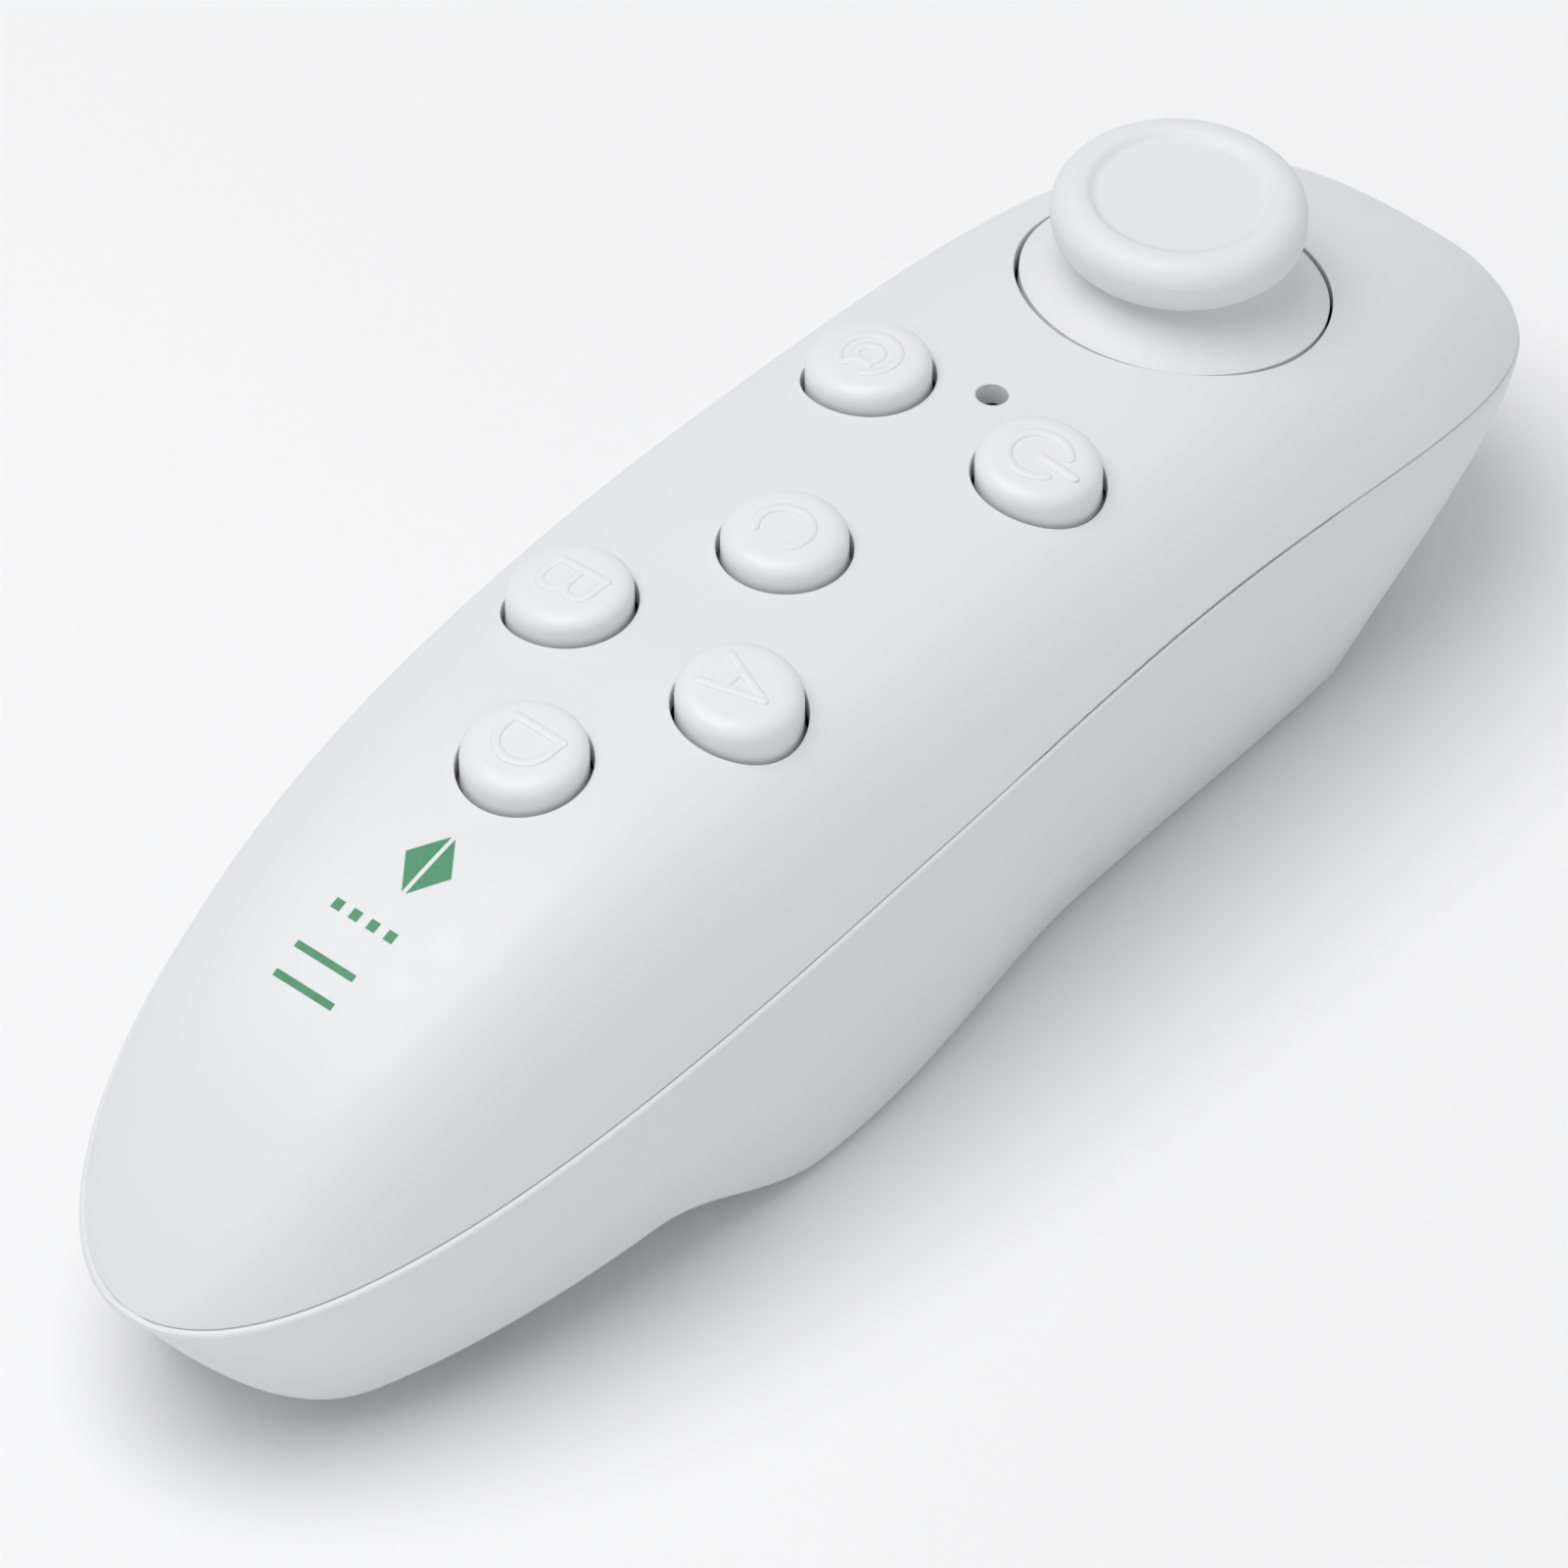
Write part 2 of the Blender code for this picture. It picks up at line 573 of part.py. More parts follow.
def batteries(sleeve, steel, plastic):
    for name, y, flip in (("battery_left", CELL_Y, 1), ("battery_right", -CELL_Y, -1)):
        length = CELL_LENGTH
        profile = [(0, 0), (CELL_RADIUS - 0.3, 0), (CELL_RADIUS, 0.5), (CELL_RADIUS, length - 1.5)]
        profile += [(CELL_RADIUS - 0.5, length - 1.0), (1.9, length - 1.0), (1.9, length), (0, length)]
        start = CELL_REAR if flip > 0 else CELL_REAR + length
        turn = (0, math.pi / 2 * flip, 0)
        turned(name, profile, sleeve, (start, y, CELL_Z), turn, steps=18)
    front = CELL_REAR + CELL_LENGTH
    strip = [(front + GAP, 4.5), (front + 0.8, 4.5), (front + 0.8, 10.0), (BAY_FRONT - GAP, 10.0)]
    strip += [(BAY_FRONT - GAP, 10.5), (front + GAP, 10.5)]
    plate("contact_positive", strip, -2.5, 2.5, steel, (0, CELL_Y, 0), (math.pi / 2, 0, 0))
    origin = (BAY_FRONT - 0.7, -CELL_Y, CELL_Z)
    coil("contact_negative", steel, origin, 2.6, 0.3, 3.8, 4, (0, -math.pi / 2, 0))
    low = (BAY_REAR + GAP, -8.5, 4.0)
    box("contact_bridge", low, (CELL_REAR - GAP, 8.5, 10.8), steel)
    cover_low, cover_high = (COVER_REAR, -COVER_HALF, 0), (COVER_FRONT, COVER_HALF, COVER_THICK)
    cover = box("battery_cover", cover_low, cover_high, plastic)
    add(cover, box("helper_cover_rib", (-15.0, -0.6, 1.0), (24.0, 0.6, 2.6), plastic))
    for k in range(4):
        x = -16.5 + 2.2 * k
        cut(cover, box(f"helper_cover_grip_{k}", (x, -6, -1), (x + 0.9, 6, 0.35), plastic))


def triggers(plastic, green, dark, white):
    """Two keys on the nose ramp, on their own small board. Z of each piece is square to the ramp."""
    turn = (0, -RAMP_ANGLE, 0)
    along_x, along_z = math.cos(RAMP_ANGLE), math.sin(RAMP_ANGLE)
    for name, along in TRIGGERS:
        origin = (BELLY_FRONT + along * along_x, 0, along * along_z)
        half = TRIGGER_LONG / 2
        low, high = (-half, -TRIGGER_HALF, -TRIGGER_PROUD), (half, TRIGGER_HALF, 2.4)
        keycap = box(f"trigger_{name}", low, high, plastic, origin, turn)
        low = (-half + 0.1, -TRIGGER_HALF - 1.0, WALL + 0.5)
        high = (half - 0.1, TRIGGER_HALF + 1.0, WALL + 1.1)
        add(keycap, box(f"helper_flange_{name}", low, high, plastic, origin, turn))
        flip = (math.pi, -RAMP_ANGLE, 0)
        normal = Vector((-along_z, 0, along_x))
        seat = Vector(origin) + normal * TRIGGER_SEAT
        switch(f"trigger_{name}", tuple(seat), flip, dark, white)
    low = (2.4, -7.5, TRIGGER_SEAT + GAP / 2)
    high = (15.6, 7.5, TRIGGER_SEAT + 1.1)
    box("trigger_board", low, high, green, (BELLY_FRONT, 0, 0), turn)


def slider(plastic, dark):
    origin = (SLIDER_X, SLIDER_INNER, SLIDER_Z)
    knob = box("mode_slider", (-KNOB_HALF, 0, -KNOB_TALL), (KNOB_HALF, 5.3, KNOB_TALL), plastic, origin)
    for k in range(3):
        x = -1.1 + 0.9 * k
        cut(knob, box(f"helper_knob_groove_{k}", (x, 5.0, -2), (x + 0.35, 6, 2), plastic, origin))
    box("mode_switch", (-3.2, 9.3, BOARD_Z), (7.2, 13.1, SLIDER_Z + 1.4), dark)


def clear_scene():
    for obj in list(bpy.data.objects):
        bpy.data.objects.remove(obj)


def main():
    clear_scene()
    top_shell(WHITE)
    bottom_shell(WHITE)
    boards(BOARD_GREEN, DARK, STEEL, CLEAR)
    for name, x, y in KEYS:
        key(name, x, y, KEY_WHITE)
        switch(name, (x, y, BOARD_TOP), None, DARK, WHITE)
    stick(STICK_WHITE, DARK, STEEL)
    batteries(SLEEVE, STEEL, WHITE)
    triggers(WHITE, BOARD_GREEN, DARK, WHITE)
    slider(DARK, DARK)
    for k, (x, y, z) in enumerate(CASE_SCREWS):
        screw(f"case_screw_{k + 1}", (x, y, z + 2.0), 2.0, 1.2, 7.8, 1)
    for k, (x, y) in enumerate(BOARD_SCREWS):
        screw(f"board_screw_{k + 1}", (x, y, BOARD_TOP + GAP + 1.0), 1.7, 1.0, 3.2, -1)
    wire("lead_red", [(BAY_FRONT + 0.2, 5.5, 15.5), (34.0, 9.0, 15.2), (33.4, 11.4, 15.5)], 0.4, RED)
    wire("lead_black", [(BAY_FRONT + 0.2, -5.5, 15.5), (34.0, -8.0, 15.2), (33.4, -10.6, 15.5)], 0.4, BLACK)


main()
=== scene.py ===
"""Looks for the motion controller: finely meshed shells, keys and stick round the CAD frame.

+X is the nose, +Y is the left side and +Z is up. Shapes are worked out in millimetres and become
metres when a mesh is made. The CAD frame gives every position that it holds.
"""

import json
import math

import bmesh
import bpy
from mathutils import Matrix, Vector
from mathutils.geometry import delaunay_2d_cdt


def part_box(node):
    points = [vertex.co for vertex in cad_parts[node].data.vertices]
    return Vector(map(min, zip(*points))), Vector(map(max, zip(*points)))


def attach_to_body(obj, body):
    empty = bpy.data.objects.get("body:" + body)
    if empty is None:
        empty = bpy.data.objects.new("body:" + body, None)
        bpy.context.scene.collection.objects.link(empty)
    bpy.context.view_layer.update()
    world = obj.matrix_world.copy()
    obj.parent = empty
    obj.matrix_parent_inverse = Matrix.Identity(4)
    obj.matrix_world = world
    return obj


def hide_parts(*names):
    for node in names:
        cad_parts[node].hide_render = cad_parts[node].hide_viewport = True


MM = 0.001
GAP = 0.3
SEAM = 0.13

# Body outline and parting line.
TAIL_REACH, NOSE_REACH = 64.7, 61.3
HALF_WIDTH, NOSE_SLIMMING = 18.45, 0.035
SLIMMING_FROM, SLIMMING_TO = -8.0, 24.0
TAIL_POWER, NOSE_POWER = 2.9, 6.4
RIM_Z, RIM_X = 24.5, 12.0
TAIL_FALL, NOSE_FALL = 0.0020, 0.0037
CROWN, CROWN_SLOPE = 9.25, -0.069
CROWN_TAIL_CURVE, CROWN_NOSE_CURVE = 0.0019, 0.0010
WALL = 1.8
SKIN = 1.7

# Underside.
BELLY_REAR, BELLY_FRONT = -18.0, 37.0
TAIL_STEP, TAIL_Z, TAIL_SAG = 14.0, 4.4, 0.09
TAIL_LIFT_X, TAIL_LIFT = -53.0, 0.075
RAMP_ANGLE, RAMP_END = math.radians(22.0), 58.0
TAIL_INSET, REAR_INSET, FRONT_INSET = 2.9, 2.5, 5.2
TAIL_INSET_FROM, TAIL_INSET_TO = 24.0, 60.0
FRONT_INSET_FROM, FRONT_INSET_TO = -18.0, 12.0
WALL_BEND = 1.8
EDGE_RADIUS = 1.4
LIP_TAIL, LIP_NOSE = 0.4, 0.1

# Openings and fillets on top.
KEY_NAMES = ("d", "a", "b", "c", "menu", "power")
KEY_HOLE, KEY_RADIUS = 4.37, 4.07
STICK_HOLE, LIGHT_HOLE = 10.3, 1.05
HOLE_ROUND = 0.12
HOLE_BLEND = 2.5

# Mesh density, and how the net of the top keeps off its openings.
STATIONS, ACROSS = 150, 76
FLOOR_ACROSS = 40
RING_GAPS = (0.35, 0.8)
NET_CLEAR = 1.2
JUST_INSIDE = 0.998

# Swaps Y and Z, for a shape drawn in plan that belongs in the side wall.
SWAP_Y_Z = Matrix(((1, 0, 0, 0), (0, 0, 1, 0), (0, 1, 0, 0), (0, 0, 0, 1)))

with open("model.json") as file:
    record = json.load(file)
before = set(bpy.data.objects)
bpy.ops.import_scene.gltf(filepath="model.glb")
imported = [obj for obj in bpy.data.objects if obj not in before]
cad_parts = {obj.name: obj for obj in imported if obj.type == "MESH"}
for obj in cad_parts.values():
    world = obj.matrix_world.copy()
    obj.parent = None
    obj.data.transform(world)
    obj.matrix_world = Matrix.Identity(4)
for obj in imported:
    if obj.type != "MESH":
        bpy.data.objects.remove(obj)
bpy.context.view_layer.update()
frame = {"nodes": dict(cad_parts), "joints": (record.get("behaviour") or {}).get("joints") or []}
JOINTS = {joint["name"]: joint for joint in frame["joints"]}


def blend(x, start, end):
    """Smooth 0 to 1 as x goes from start to end."""
    t = min(max((x - start) / (end - start), 0.0), 1.0)
    return t * t * (3.0 - 2.0 * t)


def half_width(x, inset=0.0):
    reach = abs(x) / ((TAIL_REACH if x < 0 else NOSE_REACH) - inset)
    power = TAIL_POWER if x < 0 else NOSE_POWER
    full = HALF_WIDTH * (1.0 - NOSE_SLIMMING * blend(x, SLIMMING_FROM, SLIMMING_TO))
    return (full - inset) * math.sqrt(1.0 - min(reach, 1.0) ** power)


def rim_height(x):
    fall = TAIL_FALL if x < RIM_X else NOSE_FALL
    return RIM_Z - fall * (x - RIM_X) ** 2


def top_height(x, y):
    """Height of the top shell's outer skin."""
    curve = CROWN_TAIL_CURVE if x < 0 else CROWN_NOSE_CURVE
    crown = (CROWN + CROWN_SLOPE * x + curve * x * x) * (half_width(x) / HALF_WIDTH) ** 2
    across = min(abs(y) / max(half_width(x), 1e-6), 1.0)
    return rim_height(x) + crown * (1.0 - across**4) + GAP / 2


def floor_height(x):
    """Height of the underside over the ground."""
    behind = max(BELLY_REAR - TAIL_STEP - x, 0.0)
    tail = TAIL_Z * blend(-x, -BELLY_REAR, -BELLY_REAR + TAIL_STEP) - TAIL_SAG * behind
    lift = TAIL_LIFT * max(TAIL_LIFT_X - x, 0.0) ** 2
    ramp = math.tan(RAMP_ANGLE) * min(max(x - BELLY_FRONT, 0.0), RAMP_END - BELLY_FRONT)
    return tail + lift + ramp


def foot_inset(x):
    """How far the wall has come in by the time it reaches the underside."""
    tail = (TAIL_INSET - REAR_INSET) * blend(-x, TAIL_INSET_FROM, TAIL_INSET_TO)
    return REAR_INSET + tail + (FRONT_INSET - REAR_INSET) * blend(x, FRONT_INSET_FROM, FRONT_INSET_TO)


def lip(x):
    return LIP_TAIL + (LIP_NOSE - LIP_TAIL) * blend(x, -TAIL_REACH, NOSE_REACH)


def surface_normal(x, y, step=0.02):
    """Outward normal of the top skin, taken a hair inside the outline."""
    x, y = x * JUST_INSIDE, y * JUST_INSIDE
    slope_x = (top_height(x + step, y) - top_height(x - step, y)) / (2 * step)
    slope_y = (top_height(x, y + step) - top_height(x, y - step)) / (2 * step)
    return Vector((-slope_x, -slope_y, 1.0)).normalized()


def place_of(node):
    """A CAD node's middle and its lowest and highest corners, in millimetres."""
    low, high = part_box(node)
    low, high = Vector(low) / MM, Vector(high) / MM
    return (low + high) / 2, low, high


def add_mesh(name, verts, faces, materials):
    """A mesh object from points in millimetres."""
    mesh = bpy.data.meshes.new(name)
    mesh.from_pydata([tuple(c * MM for c in v) for v in verts], [], faces)
    for material in materials:
        mesh.materials.append(material)
    mesh.update()
    obj = bpy.data.objects.new(name, mesh)
    bpy.context.scene.collection.objects.link(obj)
    return obj


def face_out(obj):
    shape = bmesh.new()
    shape.from_mesh(obj.data)
    bmesh.ops.recalc_face_normals(shape, faces=shape.faces)
    if shape.calc_volume(signed=True) < 0:
        bmesh.ops.reverse_faces(shape, faces=shape.faces)
    shape.to_mesh(obj.data)
    shape.free()
    return obj


def smooth(obj, degrees=32.0):
    obj.data.shade_smooth()
    obj.data.set_sharp_from_angle(angle=math.radians(degrees))
    return obj


def baked(obj):
    """The object with its modifiers made part of its mesh."""
    bpy.context.view_layer.update()
    graph = bpy.context.evaluated_depsgraph_get()
    mesh = bpy.data.meshes.new_from_object(obj.evaluated_get(graph))
    obj.modifiers.clear()
    obj.data = mesh
    return obj


def combine(obj, helpers, operation):
    """Unites obj with helper solids, or cuts them from it, and removes the helpers."""
    for helper in helpers:
        modifier = obj.modifiers.new(helper.name, "BOOLEAN")
        modifier.operation = operation
        modifier.solver = "MANIFOLD"
        modifier.object = helper
    baked(obj)
    for helper in helpers:
        bpy.data.objects.remove(helper)
    return obj


def bevelled(obj, width, segments=3, degrees=40.0):
    modifier = obj.modifiers.new("edges", "BEVEL")
    modifier.width = width * MM
    modifier.segments = segments
    modifier.limit_method = "ANGLE"
    modifier.angle_limit = math.radians(degrees)
    modifier.use_clamp_overlap = True
    return obj


def block(name, low, high, material):
    verts = [(x, y, z) for x in (low[0], high[0]) for y in (low[1], high[1]) for z in (low[2], high[2])]
    faces = [(0, 1, 3, 2), (4, 6, 7, 5), (0, 4, 5, 1), (2, 3, 7, 6), (0, 2, 6, 4), (1, 5, 7, 3)]
    return face_out(add_mesh(name, verts, faces, [material]))


def lathe(name, profile, centre, material, steps=96, shift=None):
    """A closed solid of revolution about Z. shift(x, y, z) may move each point up or down."""
    verts, rows = [], []
    for radius, z in profile:
        turns = 1 if radius == 0 else steps
        rows.append([len(verts) + k % turns for k in range(steps)])
        for k in range(turns):
            angle = 2.0 * math.pi * k / steps
            x, y = radius * math.cos(angle), radius * math.sin(angle)
            lift = shift(x, y, z) if shift else 0.0
            verts.append((centre[0] + x, centre[1] + y, centre[2] + z + lift))
    pairs = list(zip(rows, rows[1:]))
    if profile[0][0] or profile[-1][0]:
        pairs.append((rows[-1], rows[0]))
    faces = []
    for low, high in pairs:
        for k in range(steps):
            ring = (low[k], low[(k + 1) % steps], high[(k + 1) % steps], high[k])
            face = tuple(dict.fromkeys(ring))
            if len(face) > 2:
                faces.append(face)
    return smooth(face_out(add_mesh(name, verts, faces, [material])))


def arc(centre, radius, start, end, steps=8):
    """Points of a profile arc, angles in degrees."""
    angles = [math.radians(start + (end - start) * k / steps) for k in range(steps + 1)]
    return [(centre[0] + radius * math.cos(a), centre[1] + radius * math.sin(a)) for a in angles]


def attach(piece, body, slot, *nodes):
    """The piece rides on a body and stands for these CAD nodes, which are hidden. The slot argument is not
    used.
    """
    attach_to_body(piece, body)
    if nodes:
        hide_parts(*nodes)
    return piece


# ---------------------------------------------------------------- materials


def new_material(name):
    material = bpy.data.materials.new(name)
    material.use_nodes = True
    return material, material.node_tree.nodes, material.node_tree.links


def noise(nodes, links, scale, detail=2.0):
    """Noise in object space. scale is in waves per metre."""
    where = nodes.new("ShaderNodeTexCoord")
    texture = nodes.new("ShaderNodeTexNoise")
    texture.inputs["Scale"].default_value = scale
    texture.inputs["Detail"].default_value = detail
    links.new(where.outputs["Object"], texture.inputs["Vector"])
    return texture.outputs["Fac"]


def spread(nodes, links, value, low, high):
    """Maps noise of about 0.3 to 0.7 onto low to high."""
    node = nodes.new("ShaderNodeMapRange")
    node.inputs["From Min"].default_value = 0.3
    node.inputs["From Max"].default_value = 0.7
    node.inputs["To Min"].default_value = low
    node.inputs["To Max"].default_value = high
    links.new(value, node.inputs["Value"])
    return node.outputs["Result"]


def mix(nodes, links, factor, first, second):
    """A colour between two, by factor. Each may be a colour or another node's output."""
    node = nodes.new("ShaderNodeMix")
    node.data_type = "RGBA"
    links.new(factor, node.inputs["Factor"])
    for value, socket in ((first, node.inputs[6]), (second, node.inputs[7])):
        if isinstance(value, tuple):
            socket.default_value = (*value, 1.0)
        else:
            links.new(value, socket)
    return node.outputs[2]


def bump(nodes, links, height, strength, depth_mm):
    node = nodes.new("ShaderNodeBump")
    node.inputs["Strength"].default_value = strength
    node.inputs["Distance"].default_value = depth_mm * MM
    links.new(height, node.inputs["Height"])
    links.new(node.outputs["Normal"], nodes["Principled BSDF"].inputs["Normal"])


def moulded(name, colour, shade, rough, grain=3200.0, grain_depth=0.012, metallic=0.0):
    """Moulded plastic: faint flow shading, a fine spark-eroded grain and uneven gloss."""
    material, nodes, links = new_material(name)
    shader = nodes["Principled BSDF"]
    broad = noise(nodes, links, 55.0, 3.0)
    fine = noise(nodes, links, grain, 3.0)
    flow = mix(nodes, links, spread(nodes, links, broad, 0.0, 1.0), colour, shade)
    links.new(flow, shader.inputs["Base Color"])
    links.new(spread(nodes, links, noise(nodes, links, 420.0, 4.0), *rough), shader.inputs["Roughness"])
    shader.inputs["Metallic"].default_value = metallic
    bump(nodes, links, fine, 0.35, grain_depth)
    return material


def white_plastic(name, colour, shade, rough, grain_depth):
    material = moulded(name, colour, shade, rough, grain_depth=grain_depth)
    shader = material.node_tree.nodes["Principled BSDF"]
    shader.inputs["Subsurface Weight"].default_value = 0.12
    shader.inputs["Subsurface Radius"].default_value = (0.0012, 0.0012, 0.0013)
    shader.inputs["Specular IOR Level"].default_value = 0.42
    return material


def plated(name, colour, rough, stretch=(1.0, 1.0, 1.0)):
    """Plated or rolled metal with drawn streaks and slight tarnish."""
    material, nodes, links = new_material(name)
    shader = nodes["Principled BSDF"]
    where = nodes.new("ShaderNodeTexCoord")
    mapping = nodes.new("ShaderNodeMapping")
    mapping.inputs["Scale"].default_value = stretch
    streaks = nodes.new("ShaderNodeTexNoise")
    streaks.inputs["Scale"].default_value = 2400.0
    links.new(where.outputs["Object"], mapping.inputs["Vector"])
    links.new(mapping.outputs["Vector"], streaks.inputs["Vector"])
    tarnish = spread(nodes, links, noise(nodes, links, 260.0, 4.0), 0.0, 1.0)
    dull = tuple(c * 0.72 for c in colour)
    links.new(mix(nodes, links, tarnish, colour, dull), shader.inputs["Base Color"])
    links.new(spread(nodes, links, streaks.outputs["Fac"], *rough), shader.inputs["Roughness"])
    shader.inputs["Metallic"].default_value = 1.0
    bump(nodes, links, streaks.outputs["Fac"], 0.25, 0.01)
    return material


def solder_mask(name):
    """Green board with copper tracks showing as paler lines under the mask."""
    material, nodes, links = new_material(name)
    shader = nodes["Principled BSDF"]
    where = nodes.new("ShaderNodeTexCoord")
    tracks = nodes.new("ShaderNodeTexBrick")
    tracks.inputs["Scale"].default_value = 260.0
    tracks.inputs["Mortar Size"].default_value = 0.05
    tracks.inputs["Color1"].default_value = (0.0, 0.0, 0.0, 1.0)
    tracks.inputs["Color2"].default_value = (0.0, 0.0, 0.0, 1.0)
    tracks.inputs["Mortar"].default_value = (1.0, 1.0, 1.0, 1.0)
    links.new(where.outputs["Object"], tracks.inputs["Vector"])
    patches = spread(nodes, links, noise(nodes, links, 300.0), 0.0, 1.0)
    mask = mix(nodes, links, patches, (0.010, 0.13, 0.045), (0.014, 0.17, 0.06))
    green = mix(nodes, links, tracks.outputs["Color"], mask, (0.03, 0.26, 0.10))
    links.new(green, shader.inputs["Base Color"])
    links.new(spread(nodes, links, noise(nodes, links, 900.0), 0.22, 0.36), shader.inputs["Roughness"])
    bump(nodes, links, tracks.outputs["Color"], 0.5, 0.03)
    return material


def clear_plastic(name):
    material = moulded(name, (0.86, 0.89, 0.92), (0.80, 0.84, 0.88), (0.12, 0.24), 1500.0, 0.006)
    material.node_tree.nodes["Principled BSDF"].inputs["Transmission Weight"].default_value = 0.55
    return material


def cell_sleeve(name, low, high):
    """Printed sleeve of a cell: blue with a silver band near its positive end, and faint ink mottling."""
    material, nodes, links = new_material(name)
    shader = nodes["Principled BSDF"]
    where = nodes.new("ShaderNodeTexCoord")
    split = nodes.new("ShaderNodeSeparateXYZ")
    along = nodes.new("ShaderNodeMapRange")
    along.inputs["From Min"].default_value = low * MM
    along.inputs["From Max"].default_value = high * MM
    bands = nodes.new("ShaderNodeValToRGB")
    bands.color_ramp.interpolation = "CONSTANT"
    stops = (
        (0.0, (0.55, 0.56, 0.58)),
        (0.05, (0.03, 0.11, 0.34)),
        (0.72, (0.62, 0.63, 0.65)),
        (0.77, (0.02, 0.05, 0.16)),
    )
    ramp = bands.color_ramp.elements
    while len(ramp) < len(stops):
        ramp.new(0.5)
    for element, (position, colour) in zip(ramp, stops):
        element.position = position
        element.color = (*colour, 1.0)
    links.new(where.outputs["Object"], split.inputs["Vector"])
    links.new(split.outputs["X"], along.inputs["Value"])
    links.new(along.outputs["Result"], bands.inputs["Fac"])
    ink = spread(nodes, links, noise(nodes, links, 700.0, 4.0), 0.0, 0.25)
    printed = mix(nodes, links, ink, bands.outputs["Color"], (0.20, 0.26, 0.36))
    links.new(printed, shader.inputs["Base Color"])
    links.new(spread(nodes, links, noise(nodes, links, 350.0), 0.20, 0.34), shader.inputs["Roughness"])
    shader.inputs["Metallic"].default_value = 0.3
    bump(nodes, links, noise(nodes, links, 500.0), 0.2, 0.02)
    return material


def printed_ink(name):
    """Pad-printed green ink, a little uneven, with a soft sheen."""
    material, nodes, links = new_material(name)
    shader = nodes["Principled BSDF"]
    wear = spread(nodes, links, noise(nodes, links, 2600.0, 5.0), 0.0, 1.0)
    green = mix(nodes, links, wear, (0.046, 0.262, 0.120), (0.062, 0.300, 0.145))
    links.new(green, shader.inputs["Base Color"])
    links.new(spread(nodes, links, noise(nodes, links, 900.0), 0.34, 0.50), shader.inputs["Roughness"])
    bump(nodes, links, noise(nodes, links, 5000.0), 0.3, 0.006)
    return material


SHELL_WHITE = white_plastic(
    "shell_white", (0.800, 0.803, 0.812), (0.785, 0.788, 0.798), (0.34, 0.44), 0.010
)
KEY_WHITE = white_plastic("key_white", (0.830, 0.832, 0.838), (0.815, 0.817, 0.824), (0.30, 0.40), 0.006)
STICK_WHITE = white_plastic(
    "stick_white", (0.805, 0.807, 0.816), (0.790, 0.793, 0.802), (0.42, 0.52), 0.014
)
DARK = moulded("dark_plastic", (0.022, 0.022, 0.025), (0.034, 0.034, 0.037), (0.38, 0.56))
STEEL = plated("plated_steel", (0.62, 0.62, 0.64), (0.18, 0.36), (1.0, 6.0, 1.0))
BOARD = solder_mask("board_green")
CLEAR = clear_plastic("clear_plastic")
INK = printed_ink("green_ink")
RED = moulded("red_insulation", (0.50, 0.025, 0.022), (0.40, 0.018, 0.016), (0.40, 0.55), 1400.0)
BLACK = moulded("black_insulation", (0.018, 0.018, 0.020), (0.028, 0.028, 0.030), (0.40, 0.55), 1400.0)


# ---------------------------------------------------------------- top shell


def outline_ring(stations):
    points = []
    for k in range(2 * stations):
        lengthwise = -math.cos(math.pi * k / stations)
        x = (TAIL_REACH if lengthwise < 0 else NOSE_REACH) * lengthwise
        points.append((x, half_width(x) * (-1.0 if k < stations else 1.0)))
    return points


def circle(centre, radius, steps):
    angles = [2.0 * math.pi * k / steps for k in range(steps)]
    return [(centre[0] + radius * math.cos(a), centre[1] + radius * math.sin(a)) for a in angles]


def top_holes():
    """Centre, radius and steps of each round opening in the top shell."""
    holes = [(place_of(f"button_{name}")[0].xy, KEY_HOLE, 72) for name in KEY_NAMES]
    holes.append((place_of("stick_cap")[0].xy, STICK_HOLE, 144))
    holes.append((place_of("light_pipe")[0].xy, LIGHT_HOLE, 40))
    return holes


def skin_points(holes):
    """Points of the top in plan: the outline, a ring round each hole and a net between them."""
    outline = outline_ring(STATIONS)
    flat = list(outline)
    loops = [list(range(len(outline)))]
    for centre, radius, steps in holes:
        loops.append(list(range(len(flat), len(flat) + steps)))
        flat += circle(centre, radius + HOLE_ROUND, steps)
    for centre, radius, steps in holes:
        for gap in RING_GAPS:
            flat += circle(centre, radius + HOLE_ROUND + gap, steps)
    for k in range(1, STATIONS):
        x, side = outline[k][0], -outline[k][1]
        for j in range(1, ACROSS):
            y = side * math.sin(math.pi * (j / ACROSS - 0.5))
            if all(math.hypot(x - c[0], y - c[1]) > r + HOLE_ROUND + NET_CLEAR for c, r, _ in holes):
                flat.append((x, y))
    return flat, loops


def skin_faces(flat, loops, holes):
    edges = [(a, b) for loop in loops for a, b in zip(loop, loop[1:] + loop[:1])]
    result = delaunay_2d_cdt([Vector(p) for p in flat], edges, [], 0, 1e-6)
    points, faces, origins = result[0], result[2], result[3]
    same = [origin[0] for origin in origins]
    kept = []
    for face in faces:
        middle = sum((points[v] for v in face), Vector((0.0, 0.0))) / len(face)
        if all((middle - Vector(c)).length > r + HOLE_ROUND * 0.98 for c, r, _ in holes):
            kept.append(tuple(same[v] for v in face))
    return kept


def skin_depth(x, y, normal, holes):
    """From the outer skin to the underside: square to the skin, but straight down beside an opening.

    Square to a sloping skin, the underside would lean into the opening.
    """
    clear = min(math.dist((x, y), centre) - radius for centre, radius, _ in holes)
    square = min(max(clear / HOLE_BLEND, 0.0), 1.0)
    return normal * SKIN * square + Vector((0.0, 0.0, SKIN / normal.z)) * (1.0 - square)


def band(first, second):
    """Quads between two rings with the same number of points."""
    count = len(first)
    return [(first[k], first[(k + 1) % count], second[(k + 1) % count], second[k]) for k in range(count)]


